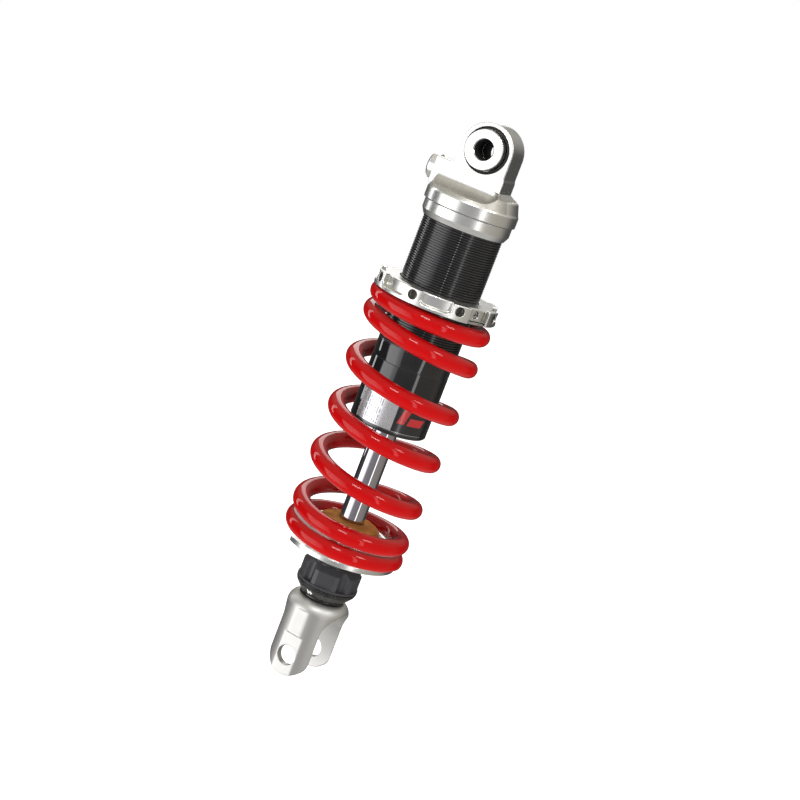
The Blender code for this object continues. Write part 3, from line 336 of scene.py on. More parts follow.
def milled_and_shaded_ring():
    """The preload ring's aluminium, rougher on the pockets' walls, with painted shade darkening those walls and
    down its holes.
    """
    finish = Finish("milled_and_shaded_ring", colours().aluminium, 0.25, 1.0)
    x, y, z = finish.axes()
    cloud = finish.noise(5 * MM, 3.0)
    radius = (x * x + y * y).math("SQRT")
    floor = RING_HIGH.x - RING_POCKET
    between = (z < (RING_HIGH.z - 0.7 * MM)) * (z > (RING_LOW.z + 0.6 * MM))
    walls = between * (radius < (RING_HIGH.x - 0.5 * MM)) * (radius > (floor + 0.25 * MM))
    holes = between * (radius < (floor - 0.4 * MM)) * (radius > (BODY_HIGH.x + MM))
    color = finish.clouded(cloud * 0.5, colours().aluminium, 0.93)
    # Painted shade on the pockets' walls; their extra roughness is the real milling.
    color = finish.mix(walls, color, (0.50, 0.485, 0.44))
    # Painted shade down the holes.
    finish.set("Base Color", finish.mix(holes, color, (0.36, 0.355, 0.34)))
    finish.set("Roughness", cloud * 0.08 + 0.27 + walls * 0.12)
    return finish.material


def blasted_aluminium():
    """Bead-blasted aluminium of the clevis."""
    finish = Finish("blasted_aluminium", colours().satin, 0.4, 1.0)
    grain = finish.noise(0.22 * MM, 3.0)
    cloud = finish.noise(9 * MM, 3.0)
    finish.vary_roughness(cloud * 0.6 + grain * 0.4, 0.40, 0.54)
    finish.set("Base Color", finish.clouded(cloud, colours().satin, 0.94))
    finish.bump(grain, 0.006 * MM)
    return finish.material


def collar_steel():
    """Bright turned steel of the eye collars, with painted shadow down the bore: near black, dull and not
    metallic.
    """
    steel = (0.80, 0.80, 0.80)
    finish = Finish("collar_steel", steel, 0.2, 1.0)
    grain = finish.noise(0.3 * MM, 2.0, stretch=(1.0, 0.1, 1.0))
    x, _, z = finish.axes()
    z = z - (HEAD_HIGH.z - sizes().eye_radius)
    # Painted shadow: the bore's wall is near black, as it lies in shade.
    bore_shadow_mask = (x * x + z * z).math("SQRT") < COLLAR_BORE + 0.07 * MM
    finish.set("Base Color", finish.mix(bore_shadow_mask, steel, (0.012, 0.012, 0.013)))
    finish.set("Metallic", 1 - bore_shadow_mask)
    finish.set("Roughness", grain * 0.12 + 0.14 + bore_shadow_mask * 0.7)
    return finish.material


def powder_coat():
    """Glossy powder coat with a slight orange peel."""
    finish = Finish("powder_coat", colours().coat, 0.5, 0.0, {
        "Coat Weight": 1.0, "Coat Roughness": 0.02, "Coat IOR": 1.33, "Specular IOR Level": 0.0})
    peel = finish.noise(2.2 * MM, 1.5)
    cloud = finish.noise(14 * MM, 2.0)
    finish.set("Base Color", finish.clouded(cloud * 0.6, colours().coat, 0.82))
    finish.bump(peel, 0.006 * MM)
    return finish.material


def black_body():
    """Black anodising: satin on the thread's flanks, glossy below it, with a bare line down the thread."""
    finish = Finish("black_body", colours().black, 0.2, 0.2, {
        "Coat Weight": 0.7, "Coat Roughness": 0.04, "Coat IOR": 1.5})
    x, y, z = finish.axes()
    cloud = finish.noise(5 * MM, 3.0)
    on_thread = z > (sizes().thread_end - 0.6 * MM)
    finish.set("Roughness", on_thread * (0.24 + cloud * 0.10) + (1 - on_thread) * (0.05 + cloud * 0.04))
    wear = finish.noise(1.6 * MM, 3.0)
    radius = (x * x + y * y).math("SQRT")
    crest = (radius > BODY_HIGH.x - 0.07 * MM) * on_thread
    line_angle = math.radians(21.5)
    across = (x * math.cos(line_angle) + y * math.sin(line_angle)).math("ABSOLUTE")
    line = (across < 0.28 * MM) * (y < 0.0) * on_thread * crest
    worn = crest * wear * 0.12
    mark = finish.node("ShaderNodeMath", {"operation": "MAXIMUM"}, {0: line * 0.9, 1: worn})
    finish.set("Base Color", finish.mix(mark, colours().black, (0.30, 0.30, 0.31)))
    return finish.material


def plain_black():
    """Black anodising of the pieces inside the body."""
    finish = Finish("plain_black", colours().black, 0.25, 0.3)
    finish.vary_roughness(finish.noise(3 * MM), 0.2, 0.35)
    return finish.material


def ground_steel():
    """Ground steel with fine lines."""
    finish = Finish("ground_steel", colours().steel, 0.25, 1.0)
    grain = finish.noise(0.3 * MM, 3.0, stretch=(0.15, 1.0, 0.15))
    finish.vary_roughness(grain, 0.16, 0.34)
    finish.bump(grain, 0.006 * MM)
    return finish.material


def hard_chrome():
    """Mirror chrome with faint lines along the rod."""
    finish = Finish("hard_chrome", colours().chrome, 0.04, 1.0)
    grain = finish.noise(0.4 * MM, 2.0, stretch=(1.0, 1.0, 0.05))
    finish.vary_roughness(grain, 0.02, 0.07)
    return finish.material


def bump_foam():
    """Tan foam with pores and crumbs."""
    finish = Finish("bump_foam", colours().foam, 0.9, 0.0, {"Specular IOR Level": 0.25})
    blotch = finish.noise(7 * MM, 4.0, 0.6)
    grain = finish.noise(0.8 * MM, 4.0, 0.7)
    color = finish.mix(finish.ramp(blotch, [(0.3, 0.0), (0.7, 1.0)]),
                       shade(colours().foam, 0.72), shade(colours().foam, 1.28))
    pores = finish.ramp(grain, [(0.36, 0.55), (0.5, 0.0)])
    finish.set("Base Color", finish.mix(pores, color, shade(colours().foam, 0.45)))
    finish.bump(grain * 0.6 + blotch * 0.4, 0.5 * MM)
    return finish.material


def knob_plastic():
    """Charcoal of the knob, with a fine grain."""
    finish = Finish("knob_plastic", colours().plastic, 0.42, 0.0)
    grain = finish.noise(0.18 * MM, 2.0)
    cloud = finish.noise(5 * MM, 3.0)
    finish.vary_roughness(cloud, 0.34, 0.5)
    finish.set("Base Color", finish.clouded(cloud * 0.7, colours().plastic, 1.5))
    finish.bump(grain, 0.02 * MM)
    return finish.material


def black_ring():
    """Glossier black of the conical mark ring."""
    finish = Finish("black_ring", colours().rubber, 0.25, 0.0)
    finish.vary_roughness(finish.noise(2 * MM, 3.0), 0.16, 0.34)
    return finish.material


def soft_rubber():
    """Black rubber with a dry bloom."""
    finish = Finish("soft_rubber", colours().rubber, 0.6, 0.0)
    bloom = finish.noise(1.5 * MM, 4.0)
    finish.vary_roughness(bloom, 0.5, 0.75)
    finish.set("Base Color", finish.mix(bloom * 0.5, colours().rubber, (0.035, 0.035, 0.035)))
    return finish.material


def bush_bronze():
    """Bronze of the rod guide bush."""
    finish = Finish("bush_bronze", colours().bronze, 0.3, 1.0)
    finish.vary_roughness(finish.noise(1 * MM, 3.0), 0.2, 0.4)
    return finish.material


def mark_paint():
    """White paint of the turning marks."""
    finish = Finish("mark_paint", (0.85, 0.85, 0.85), 0.5, 0.0)
    finish.vary_roughness(finish.noise(0.5 * MM), 0.4, 0.6)
    return finish.material


def label_print():
    """A silver label with a black field and plain red bars, without text."""
    silver, ink = (0.74, 0.74, 0.77), (0.16, 0.16, 0.19)
    field, border = (0.012, 0.012, 0.014), (0.10, 0.10, 0.11)
    finish = Finish("label_print", (0.75, 0.75, 0.77), 0.25, 0.0, {
        "Coat Weight": 0.5, "Coat Roughness": 0.08})
    x, y, z = finish.axes()
    up = (z - LABEL_LOW.z) / (LABEL_HIGH.z - LABEL_LOW.z)
    turn = math.radians(20.0)
    along = (x * math.cos(turn) + y * math.sin(turn)) / (LABEL_HIGH.x * 0.9)
    lean = along - up * 0.22
    black = (along > 0.10) * (up > 0.06) * (up < 0.94)
    red_high = (lean > 0.12) * (lean < 0.32) * (up > 0.34) * (up < 0.86)
    red_low = (lean > 0.40) * (lean < 0.78) * (up > 0.34) * (up < 0.58)
    rows = (along > -0.78) * (along < -0.30) * (up > 0.08) * (up < 0.90)
    rows = rows * ((along * 15.0).math("FRACT") > 0.45)
    rows = rows * (finish.noise(1.2 * MM, 1.0, stretch=(0.4, 0.4, 1.0)) > 0.45)
    color = silver
    for share, over in ((rows * 0.75, ink), ((up < 0.05) + (up > 0.95), border), (black, field),
                        (red_high + red_low, colours().label_red)):
        color = finish.mix(share, color, over)
    finish.set("Base Color", color)
    finish.set("Metallic", (1 - black) * 0.8)
    finish.vary_roughness(finish.noise(3 * MM), 0.2, 0.32)
    return finish.material


def stage_white():
    """Plain pale floor."""
    finish = Finish("stage_white", (0.93, 0.93, 0.93), 0.9, 0.0,
                    {"Emission Color": (1.0, 1.0, 1.0, 1.0), "Emission Strength": 1.0})
    return finish.material


# Mesh tools

def mesh_object(name, vertices, faces, normals=None):
    """A smooth-shaded object from arrays, with its own vertex normals if they are given."""
    mesh = bpy.data.meshes.new(name)
    mesh.from_pydata(np.asarray(vertices).tolist(), [], [tuple(face) for face in faces])
    mesh.validate()
    mesh.shade_smooth()
    if normals is not None:
        mesh.normals_split_custom_set_from_vertices(np.asarray(normals).tolist())
    obj = bpy.data.objects.new(name, mesh)
    bpy.context.scene.collection.objects.link(obj)
    return obj


def weld(obj):
    """Joins vertices that lie on each other and drops the faces that this flattens."""
    mesh = bmesh.new()
    mesh.from_mesh(obj.data)
    bmesh.ops.remove_doubles(mesh, verts=mesh.verts, dist=0.001 * MM)
    bmesh.ops.dissolve_degenerate(mesh, edges=mesh.edges, dist=0.001 * MM)
    mesh.to_mesh(obj.data)
    mesh.free()


def rounded_outline(corners, steps=4):
    """Points and outward normals along a closed outline of (radius, height, rounding) corners.

    The outline runs down the outside and back up the inside, so outward is to its left.
    """
    points, normals = [], []
    count = len(corners)
    for i, (radius, height, rounding) in enumerate(corners):
        here = Vector((radius, height))
        before = Vector(corners[i - 1][:2]) - here
        after = Vector(corners[(i + 1) % count][:2]) - here
        into, out = -before.normalized(), after.normalized()
        first = Vector((-into.y, into.x))
        turn = math.atan2(into.cross(out), into.dot(out))
        limit = 0.45 * min(before.length, after.length)
        reach = min(rounding * math.tan(abs(turn) / 2), limit)
        start = here - into * reach
        for step in range(steps + 1):
            share = step / steps
            end = here + out * reach
            middle = start.lerp(here, share).lerp(here.lerp(end, share), share)
            angle = turn * share
            normal = Vector((first.x * math.cos(angle) - first.y * math.sin(angle),
                             first.x * math.sin(angle) + first.y * math.cos(angle)))
            points.append(middle)
            normals.append(normal)
    return points, normals


def turned(name, corners, steps=128, rounding_steps=4):
    """A turned ring about Z from (radius, height, rounding) corners, none of them on the axis."""
    points, normals = rounded_outline(corners, rounding_steps)
    angle = np.linspace(0, 2 * np.pi, steps, endpoint=False)
    cos, sin = np.cos(angle)[:, None], np.sin(angle)[:, None]
    radius = np.array([p.x for p in points])[None, :]
    height = np.array([p.y for p in points])[None, :] + 0 * cos
    out = np.array([n.x for n in normals])[None, :]
    rise = np.array([n.y for n in normals])[None, :] + 0 * cos
    vertices = np.stack([radius * cos, radius * sin, height], -1).reshape(-1, 3)
    vertex_normals = np.stack([out * cos, out * sin, rise], -1).reshape(-1, 3)
    return mesh_object(name, vertices, grid_faces(steps, len(points), True, True), vertex_normals)


def grid_faces(rows, columns, wrap_rows, wrap_columns):
    """Quads of a grid of vertices, closed round in either direction on request."""
    row = np.arange(rows if wrap_rows else rows - 1)
    column = np.arange(columns if wrap_columns else columns - 1)
    i, j = np.meshgrid(row, column, indexing="ij")
    next_i, next_j = (i + 1) % rows, (j + 1) % columns
    here, there = i * columns, next_i * columns
    quads = np.stack([here + j, here + next_j, there + next_j, there + j], -1)
    return quads.reshape(-1, 4).tolist()


def round_max(limit, *fields):
    """Intersection of fields with its edges rounded to this radius."""
    lifted = [np.maximum(field + limit, 0) for field in fields]
    inside = np.minimum(np.maximum.reduce(fields) + limit, 0)
    return np.sqrt(sum(part * part for part in lifted)) + inside - limit


def round_min(limit, *fields):
    """Union of fields with its hollow corners filleted to this radius."""
    return -round_max(limit, *[-field for field in fields])


def field_mesh(name, field, low, high, step):
    """The surface where a field is zero, with normals along the field's slope."""
    lines = [np.arange(a, b + step, step) for a, b in zip(low, high)]
    values = field(*np.meshgrid(*lines, indexing="ij"))
    shape = np.array(values.shape) - 1
    total, crossings = np.zeros((*shape, 3)), np.zeros(shape)
    for axis in range(3):
        others = [a for a in range(3) if a != axis]
        for first in (0, 1):
            for second in (0, 1):
                start = np.zeros(3, int)
                start[others] = first, second
                end = start.copy()
                end[axis] = 1
                here = values[tuple(slice(s, s + n) for s, n in zip(start, shape))]
                there = values[tuple(slice(s, s + n) for s, n in zip(end, shape))]
                crossed = (here < 0) != (there < 0)
                share = np.where(crossed, here / np.where(crossed, here - there, 1), 0)
                for a in range(3):
                    total[..., a] += crossed * (share if a == axis else start[a])
                crossings += crossed
    active = crossings > 0
    number = np.full(shape, -1)
    number[active] = np.arange(active.sum())
    cells = np.argwhere(active)
    points = np.array(low) + step * (cells + total[active] / crossings[active][:, None])
    faces = []
    for axis in range(3):
        one, two = [a for a in range(3) if a != axis]
        if axis == 1:
            one, two = two, one
        here = np.take(values, range(shape[axis]), axis)
        there = np.take(values, range(1, shape[axis] + 1), axis)
        crossed = np.argwhere((here < 0) != (there < 0))
        inner = (crossed[:, one] > 0) & (crossed[:, two] > 0)
        inner &= (crossed[:, one] < shape[one]) & (crossed[:, two] < shape[two])
        crossed = crossed[inner]
        corners = []
        for a, b in ((-1, -1), (0, -1), (0, 0), (-1, 0)):
            cell = crossed.copy()
            cell[:, one] += a
            cell[:, two] += b
            corners.append(number[tuple(cell.T)])
        quads = np.stack(corners, 1)
        outward = here[tuple(crossed.T)] < 0
        faces.append(np.where(outward[:, None], quads, quads[:, ::-1]))
    for _ in range(4):
        slope = field_slope(field, points, step * 0.05)
        steepness = np.maximum((slope ** 2).sum(1), 0.05)
        move = -slope * (field(*points.T) / steepness)[:, None]
        points = points + np.clip(move, -step / 2, step / 2)
    normals = field_slope(field, points, step * 0.2)
    normals /= np.maximum(np.linalg.norm(normals, axis=1), 1e-9)[:, None]
    return mesh_object(name, points, np.concatenate(faces).tolist(), normals)


def span(radius, low, high):
    """The corners of a box round a piece that is centred on Z, with a millimetre to spare."""
    return (-radius - MM, -radius - MM, low - MM), (radius + MM, radius + MM, high + MM)


def field_slope(field, points, reach):
    """The field's slope at each point."""
    slope = np.empty_like(points)
    for axis in range(3):
        shift = np.zeros(3)
        shift[axis] = reach
        slope[:, axis] = (field(*(points + shift).T) - field(*(points - shift).T)) / (2 * reach)
    return slope


def dress(obj, body, slot, maker, *replaced):
    """Rides a piece on its body, in place of CAD nodes, with the maker's finish; the slot is not used."""
    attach(obj, body)
    if replaced:
        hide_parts(*replaced)
    obj.data.materials.append(material_of(maker))


def material_of(maker):
    """The finish that a maker gives, made once."""
    name = maker.__name__
    return bpy.data.materials.get(name) or maker()


class ShockOperator:
    """What the operators share."""

    bl_options = {"REGISTER", "UNDO"}


# Head

class SHOCK_OT_mount_head(ShockOperator, bpy.types.Operator):
    """Build the eye, its slab and its rim"""

    bl_idname = "shock.mount_head"
    bl_label = "Mount Head"

    def execute(self, context):
        """Shapes the head as a turned blank that is milled away on its front, back and right."""
        size = sizes()
        eye_height = HEAD_HIGH.z - size.eye_radius
        half = size.slab / 2
        rim_radius = HEAD_HIGH.x
        rim_top = HEAD_LOW.z + 6.5 * MM
        floor = rim_top + 3.1 * MM
        shoulder = floor + 4.9 * MM
        mill = 7.0 * MM
        left = -28.0 * MM
        right_limit = 19.5 * MM
        slab_top = floor + 15.2 * MM
        edge = size.edge

        def field(x, y, z):
            radius = np.hypot(x, y)
            over = z - rim_top
            taper = radius - (rim_radius - np.clip(over, 0, None) * 0.33 - np.clip(over, 0, 1.5 * MM) * 0.2)
            blank = round_max(edge, taper * 0.95, z - (shoulder + 3 * MM), HEAD_LOW.z - z)
            side = np.abs(y)
            pocket = round_max(mill, half - side, floor - z, x - right_limit)
            right = round_max(mill, size.eye_radius - x, shoulder - z + (x - 22 * MM) * 0.12)
            blank = round_max(edge, blank, -pocket)
            blank = round_max(edge * 2, blank, -right)
            neck = np.maximum(np.abs(x) - size.eye_radius, z - eye_height)
            eye = np.hypot(x, z - eye_height) - size.eye_radius
            block = round_max(edge * 2, left - x, x - size.eye_radius, z - slab_top)
            wall = round_min(2.0 * MM, np.minimum(neck, eye), block)
            slab = round_max(edge, wall, side - half, floor - 1 * MM - z)
            solid = np.minimum(blank, slab)
            solid = round_max(edge, solid, left - x + np.where(z > rim_top + 1 * MM, 0, -2 * MM))
            bore = size.eye_bore - np.hypot(x, z - eye_height)
            solid = round_max(edge, solid, bore)
            socket = np.minimum(BODY_HIGH.x + 0.3 * MM - radius, HEAD_LOW.z + 5.3 * MM - z)
            return np.maximum(solid, socket)

        head = field_mesh("head_body", field, (left - MM, -rim_radius - MM, HEAD_LOW.z - MM),
                          (rim_radius + MM, rim_radius + MM, HEAD_HIGH.z + MM), size.grid)
        dress(head, "damper_body", "bright_aluminium", milled_and_shaded_head, "mount_head")
        return {"FINISHED"}


class SHOCK_OT_head_rings(ShockOperator, bpy.types.Operator):
    """Build the lock ring under the head and the cap of the gas valve"""

    bl_idname = "shock.head_rings"
    bl_label = "Head Rings"

    def execute(self, context):
        """Turns both pieces."""
        inner = BODY_HIGH.x + 0.3 * MM
        outer, low, high = LOCK_HIGH.x, LOCK_LOW.z, LOCK_HIGH.z
        edge = sizes().edge
        lock = turned("lock_ring", [
            (outer, high, edge), (outer, low + 3.6 * MM, edge), (inner + 0.4 * MM, low, edge / 2),
            (inner, low, edge / 4), (inner, high, edge)])
        dress(lock, "damper_body", "bright_aluminium", machined_aluminium, "head_lock_ring")
        radius, hole, bevel = (CAP_HIGH.z - CAP_LOW.z) / 2, 1.5 * MM, 1.3 * MM
        end = CAP_HIGH.x - CAP_LOW.x
        cap = turned("valve_cap", [
            (hole, end - 1.0 * MM, 0.1 * MM), (2.6 * MM, end - 1.0 * MM, 0.1 * MM), (3.2 * MM, end, 0.2 * MM),
            (radius - bevel, end, 0.3 * MM), (radius, end - bevel, 0.3 * MM), (radius, 0, edge),
            (hole, 0, 0.2 * MM)], 96)
        cap.data.transform(Matrix.Rotation(math.radians(-90), 4, "Y"))
        cap.data.transform(Matrix.Translation((CAP_HIGH.x, 0, (CAP_LOW.z + CAP_HIGH.z) / 2)))
        dress(cap, "damper_body", "bright_aluminium", machined_aluminium, "gas_valve_cap")
        return {"FINISHED"}


class SHOCK_OT_eye_bearing(ShockOperator, bpy.types.Operator):
    """Build the collars and seals of the eye"""

    bl_idname = "shock.eye_bearing"
    bl_label = "Eye Bearing"

    def execute(self, context):
        """Turns a collar and a seal for each side."""
        eye_height = HEAD_HIGH.z - sizes().eye_radius
        face = -COLLAR_LOW.y
        near = -COLLAR_HIGH.y
        radius = (COLLAR_HIGH.z - COLLAR_LOW.z) / 2
        seal_radius = (SEAL_HIGH.z - SEAL_LOW.z) / 2
        seal_face = -SEAL_LOW.y
        waist, spigot, bore = radius - 2.6 * MM, 7.7 * MM, COLLAR_BORE
        lip, step = seal_face - 1.6 * MM, near + 7.4 * MM
        for side, turn in (("front", 90), ("back", -90)):
            collar = turned("collar_" + side, [
                (radius, face, 0.5 * MM), (radius, lip, 0.2 * MM), (waist, lip, 0.2 * MM),
                (waist, step, 0.2 * MM), (spigot, step, 0.2 * MM), (spigot, near, 0.2 * MM),
                (bore, near, 0.2 * MM), (bore, face - 0.7 * MM, 0.1 * MM),
                (bore + 0.6 * MM, face, 0.1 * MM)], 96)
            seal = turned("dust_seal_" + side, [
                (seal_radius, seal_face - 0.5 * MM, 0.4 * MM), (seal_radius, -SEAL_HIGH.y, 0.2 * MM),
                (radius + 0.3 * MM, -SEAL_HIGH.y, 0.2 * MM), (radius + 0.3 * MM, seal_face, 0.3 * MM)], 96)
            for piece in (collar, seal):
                piece.data.transform(Matrix.Rotation(math.radians(turn), 4, "X"))
                piece.data.transform(Matrix.Translation((0, 0, eye_height)))
            dress(collar, "upper_bearing", "steel", collar_steel, "eye_collar_" + side)
            dress(seal, "damper_body", "rubber", soft_rubber, "eye_seal_" + side)
        return {"FINISHED"}


# Body

class SHOCK_OT_threaded_body(ShockOperator, bpy.types.Operator):
    """Build the damper body with its helical thread"""

    bl_idname = "shock.threaded_body"
    bl_label = "Threaded Body"

    def execute(self, context):
        """Screws the thread's profile up the outside between plain rings, and closes it down the bore."""
        size = sizes()
        crest, bore, smooth = BODY_HIGH.x, 22.0 * MM, size.smooth_radius
        low, high, end, pitch = BODY_LOW.z, BODY_HIGH.z, size.thread_end, size.thread_pitch
        columns = 160
        angle = np.linspace(0, 2 * np.pi, columns + 1)
        seam = low + 40.8 * MM
        radius, height = [], []

        def rings(*places):
            for r, z in places:
                radius.append(np.full(columns + 1, r))
                height.append(np.full(columns + 1, z))

        rings((bore, high - 0.4 * MM), (bore, low + 0.4 * MM), (bore + 0.4 * MM, low),
              (smooth - 1.2 * MM, low), (smooth - 0.9 * MM, low + 0.1 * MM), (smooth - 0.1 * MM, low + 0.9 * MM),
              (smooth, low + 1.2 * MM), (smooth, seam - 0.3 * MM), (smooth - 0.12 * MM, seam),
              (smooth, seam + 0.3 * MM),
              (smooth, end - 1.0 * MM), (smooth - 0.05 * MM, end - 0.2 * MM))
        profile = ((0.0, 0.0), (0.16, 0.0), (0.40, 1.0), (0.50, 1.0), (0.60, 1.0), (0.84, 0.0))
        for turn in range(-1, math.ceil((high - end) / pitch)):
            for share, depth in profile:
                z = np.clip(end + (turn + share + angle / (2 * np.pi)) * pitch, end, high - 0.5 * MM)
                swell = np.clip((z - end) / pitch, 0, 1)
                fade = swell * np.clip((high - 0.5 * MM - z) / pitch, 0, 1)
                radius.append(smooth + (crest - smooth) * swell - size.thread_depth * depth * fade)
                height.append(z)
        rings((crest - 0.5 * MM, high), (bore + 0.4 * MM, high))
        radius, height = np.array(radius), np.array(height)
        vertices = np.stack([radius * np.cos(angle), radius * np.sin(angle), height], -1)
        faces = grid_faces(len(radius), columns + 1, True, False)
        body = mesh_object("damper_tube", vertices.reshape(-1, 3), [face[::-1] for face in faces])
        weld(body)
        body.data.set_sharp_from_angle(angle=math.radians(38))
        dress(body, "damper_body", "black_anodised", black_body, "threaded_body")
        return {"FINISHED"}


class SHOCK_OT_body_label(ShockOperator, bpy.types.Operator):
    """Build the film label on the body"""

    bl_idname = "shock.body_label"
    bl_label = "Body Label"

    def execute(self, context):
        """Wraps a thin film round the front of the body."""
        inner = sizes().smooth_radius + 0.03 * MM
        outer = inner + 0.12 * MM
        middle = math.radians(-90 + 20)
        reach = math.radians(56)
        columns = 48
        angle = np.linspace(middle - reach, middle + reach, columns)
        loop = [(outer, LABEL_HIGH.z), (outer, LABEL_LOW.z), (inner, LABEL_LOW.z), (inner, LABEL_HIGH.z)]
        vertices = [(r * math.cos(a), r * math.sin(a), z) for a in angle for r, z in loop]
        faces = grid_faces(columns, 4, False, True)
        faces += [[3, 2, 1, 0], [len(vertices) - 4 + i for i in range(4)]]
        label = mesh_object("label_film", vertices, faces)
        label.data.set_sharp_from_angle(angle=math.radians(40))
        dress(label, "damper_body", "label_film", label_print, "body_label")
        return {"FINISHED"}


# Spring

def coil_drop(turn):
    """Drop of the wire's centre after each of these turns, and how much of it the open coils give."""
    size = sizes()
    bottom_change = size.turns - size.bottom_closed
    rise = 0.5 + (turn - size.top_closed) / size.pitch_change
    fall = 0.5 + (bottom_change - turn) / size.pitch_change
    share = np.clip(np.minimum(rise, fall), 0, 1)
    eased = share * share * (3 - 2 * share)
    pitch = size.closed_pitch + (size.open_pitch - size.closed_pitch) * eased
    step = turn[1] - turn[0]
    drop = np.concatenate([[0], np.cumsum((pitch[1:] + pitch[:-1]) / 2 * step)])
    opening = np.concatenate([[0], np.cumsum((eased[1:] + eased[:-1]) / 2 * step)])
    return drop, opening / opening[-1]


class SHOCK_OT_coil_spring(ShockOperator, bpy.types.Operator):
    """Build the coil spring with closed, ground ends"""

    bl_idname = "shock.coil_spring"
    bl_label = "Coil Spring"

    def execute(self, context):
        """Sweeps a round section along the helix and flattens its ends."""
        size = sizes()
        around, sides = 72, 28
        radius = SPRING_HIGH.y - size.wire_radius
        rows = round(size.turns * around) + 1
        turn = np.linspace(0, size.turns, rows)
        drop, opening = coil_drop(turn)
        half_turn = around // 2
        height = size.top_coil + drop[half_turn] - drop
        angle = 2 * np.pi * turn
        radial = np.stack([-np.sin(angle), np.cos(angle), 0 * angle], -1)
        center = radial * radius
        center[:, 2] = height
        along = np.gradient(center, axis=0)
        along /= np.linalg.norm(along, axis=1)[:, None]
        upward = np.cross(along, radial)
        upward /= np.linalg.norm(upward, axis=1)[:, None]
        section = np.linspace(0, 2 * np.pi, sides, endpoint=False)[None, :, None]
        spokes = np.cos(section) * radial[:, None, :] + np.sin(section) * upward[:, None, :]
        points = center[:, None, :] + spokes * size.wire_radius
        points[..., 2] = np.clip(points[..., 2], SPRING_LOW.z, SPRING_HIGH.z)
        vertices = points.reshape(-1, 3)
        faces = grid_faces(rows, sides, False, True)
        faces.append(list(range(sides)))
        faces.append([len(vertices) - 1 - i for i in range(sides)])
        spring = mesh_object("spring_wire", vertices, faces)
        spring.data.set_sharp_from_angle(angle=math.radians(60))
        spring.data.materials.append(material_of(powder_coat))
        spring.visible_glossy = False
        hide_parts("coil_spring")
        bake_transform(spring)
        return {"FINISHED"}


class SHOCK_OT_preload_ring(ShockOperator, bpy.types.Operator):
    """Build the preload ring with its pockets and pin holes"""

    bl_idname = "shock.preload_ring"
    bl_label = "Preload Ring"

    def execute(self, context):
        """Mills eight pockets into a turned ring and drills a hole in each land between them."""
        size = sizes()
        low, high = RING_LOW.z, RING_HIGH.z
        outer, inner = RING_HIGH.x, BODY_HIGH.x + 0.3 * MM
        edge = size.edge
        first_land = math.radians(-1.2)
        sector = math.radians(45)
        floor = outer - RING_POCKET
        ledge = low + 2.4 * MM
        half_width = 9.6 * MM
        hole_height = (low + 1.7 * MM + high) / 2
        grub = first_land + 1.5 * sector
        washer_radius, washer_top = 37.9 * MM, low + 1.7 * MM

        def field(x, y, z):
            radius = np.hypot(x, y)
            bearing = np.arctan2(x, -y)
            blank = round_max(edge, radius - outer, inner - radius, z - high, low - z)
            from_land = (bearing - first_land + sector / 2) % sector - sector / 2
            from_pocket = (bearing - first_land) % sector - sector / 2
            from_grub = (bearing - grub + math.pi) % (2 * math.pi) - math.pi
            across = np.abs(radius * np.sin(from_pocket))
            outline = round_max(3.0 * MM, across - half_width, ledge - z)
            pocket = round_max(edge, outline, floor - radius)
            near_grub = np.abs(from_grub) < sector / 2
            slot = round_max(0.3 * MM, np.abs(radius * np.sin(from_grub)) - 7.4 * MM,
                             floor - 0.2 * MM - radius * np.cos(from_grub))
            pocket = np.where(near_grub, slot, pocket)
            solid = round_max(1.0 * MM, blank, -pocket)
            hole = np.hypot(radius * np.sin(from_land), z - hole_height) - 2.9 * MM
            hole = np.maximum(hole, outer - 8 * MM - radius)
            grub_hole = np.hypot(radius * np.sin(from_grub), z - hole_height) - 2.3 * MM
            grub_hole = np.where(near_grub, grub_hole, 1.0)
            solid = round_max(edge / 2, solid, -hole)
            solid = round_max(edge / 2, solid, -grub_hole)
            return np.maximum(solid, -np.maximum(radius - washer_radius, z - washer_top))

        ring = field_mesh("adjuster_ring", field, *span(outer, low, high), size.grid * 0.9)
        dress(ring, "preload_ring", "bright_aluminium", milled_and_shaded_ring, "preload_ring")
        return {"FINISHED"}


# Rod, bump stop and seat

class SHOCK_OT_piston_rod(ShockOperator, bpy.types.Operator):
    """Build the chromed rod and the collar under the spring seat"""

    bl_idname = "shock.piston_rod"
    bl_label = "Piston Rod"

    def execute(self, context):
        """Turns both pieces."""
        radius = ROD_HIGH.x
        low, high = ROD_LOW.z, ROD_HIGH.z
        shoulder, tip_foot, bore_top = KNOB_HIGH.z + 0.3 * MM, high - 28.2 * MM, high - 26 * MM
        tip, stem, bore, jet = 5.0 * MM, 6.0 * MM, 3.0 * MM, 1.35 * MM
        rod = turned("chrome_rod", [
            (tip, high, 0.3 * MM), (tip, tip_foot, 0.2 * MM), (radius, tip_foot, 0.4 * MM),
            (radius, shoulder, 0.3 * MM), (stem, shoulder, 0.2 * MM), (stem, low, 0.4 * MM),
            (bore, low, 0.2 * MM), (bore, bore_top, 0.2 * MM), (jet, bore_top, 0.1 * MM),
            (jet, high, 0.1 * MM)], 160)
        dress(rod, "rod_assembly", "chrome", hard_chrome, "piston_rod")
        outer, inner = SEAT_COLLAR_HIGH.x, radius + 0.3 * MM
        bottom, top = SEAT_COLLAR_LOW.z, SEAT_COLLAR_HIGH.z
        flange = SEAT_LOW.z - 0.3 * MM
        collar = turned("rod_end_collar", [
            (outer - MM, top, 0.2 * MM), (outer - MM, flange, 0.1 * MM), (outer, flange, 0.4 * MM),
            (outer, bottom, 0.4 * MM), (inner, bottom, 0.2 * MM), (inner, top, 0.2 * MM)])
        dress(collar, "rod_assembly", "bright_aluminium", machined_aluminium, "seat_collar")
        return {"FINISHED"}


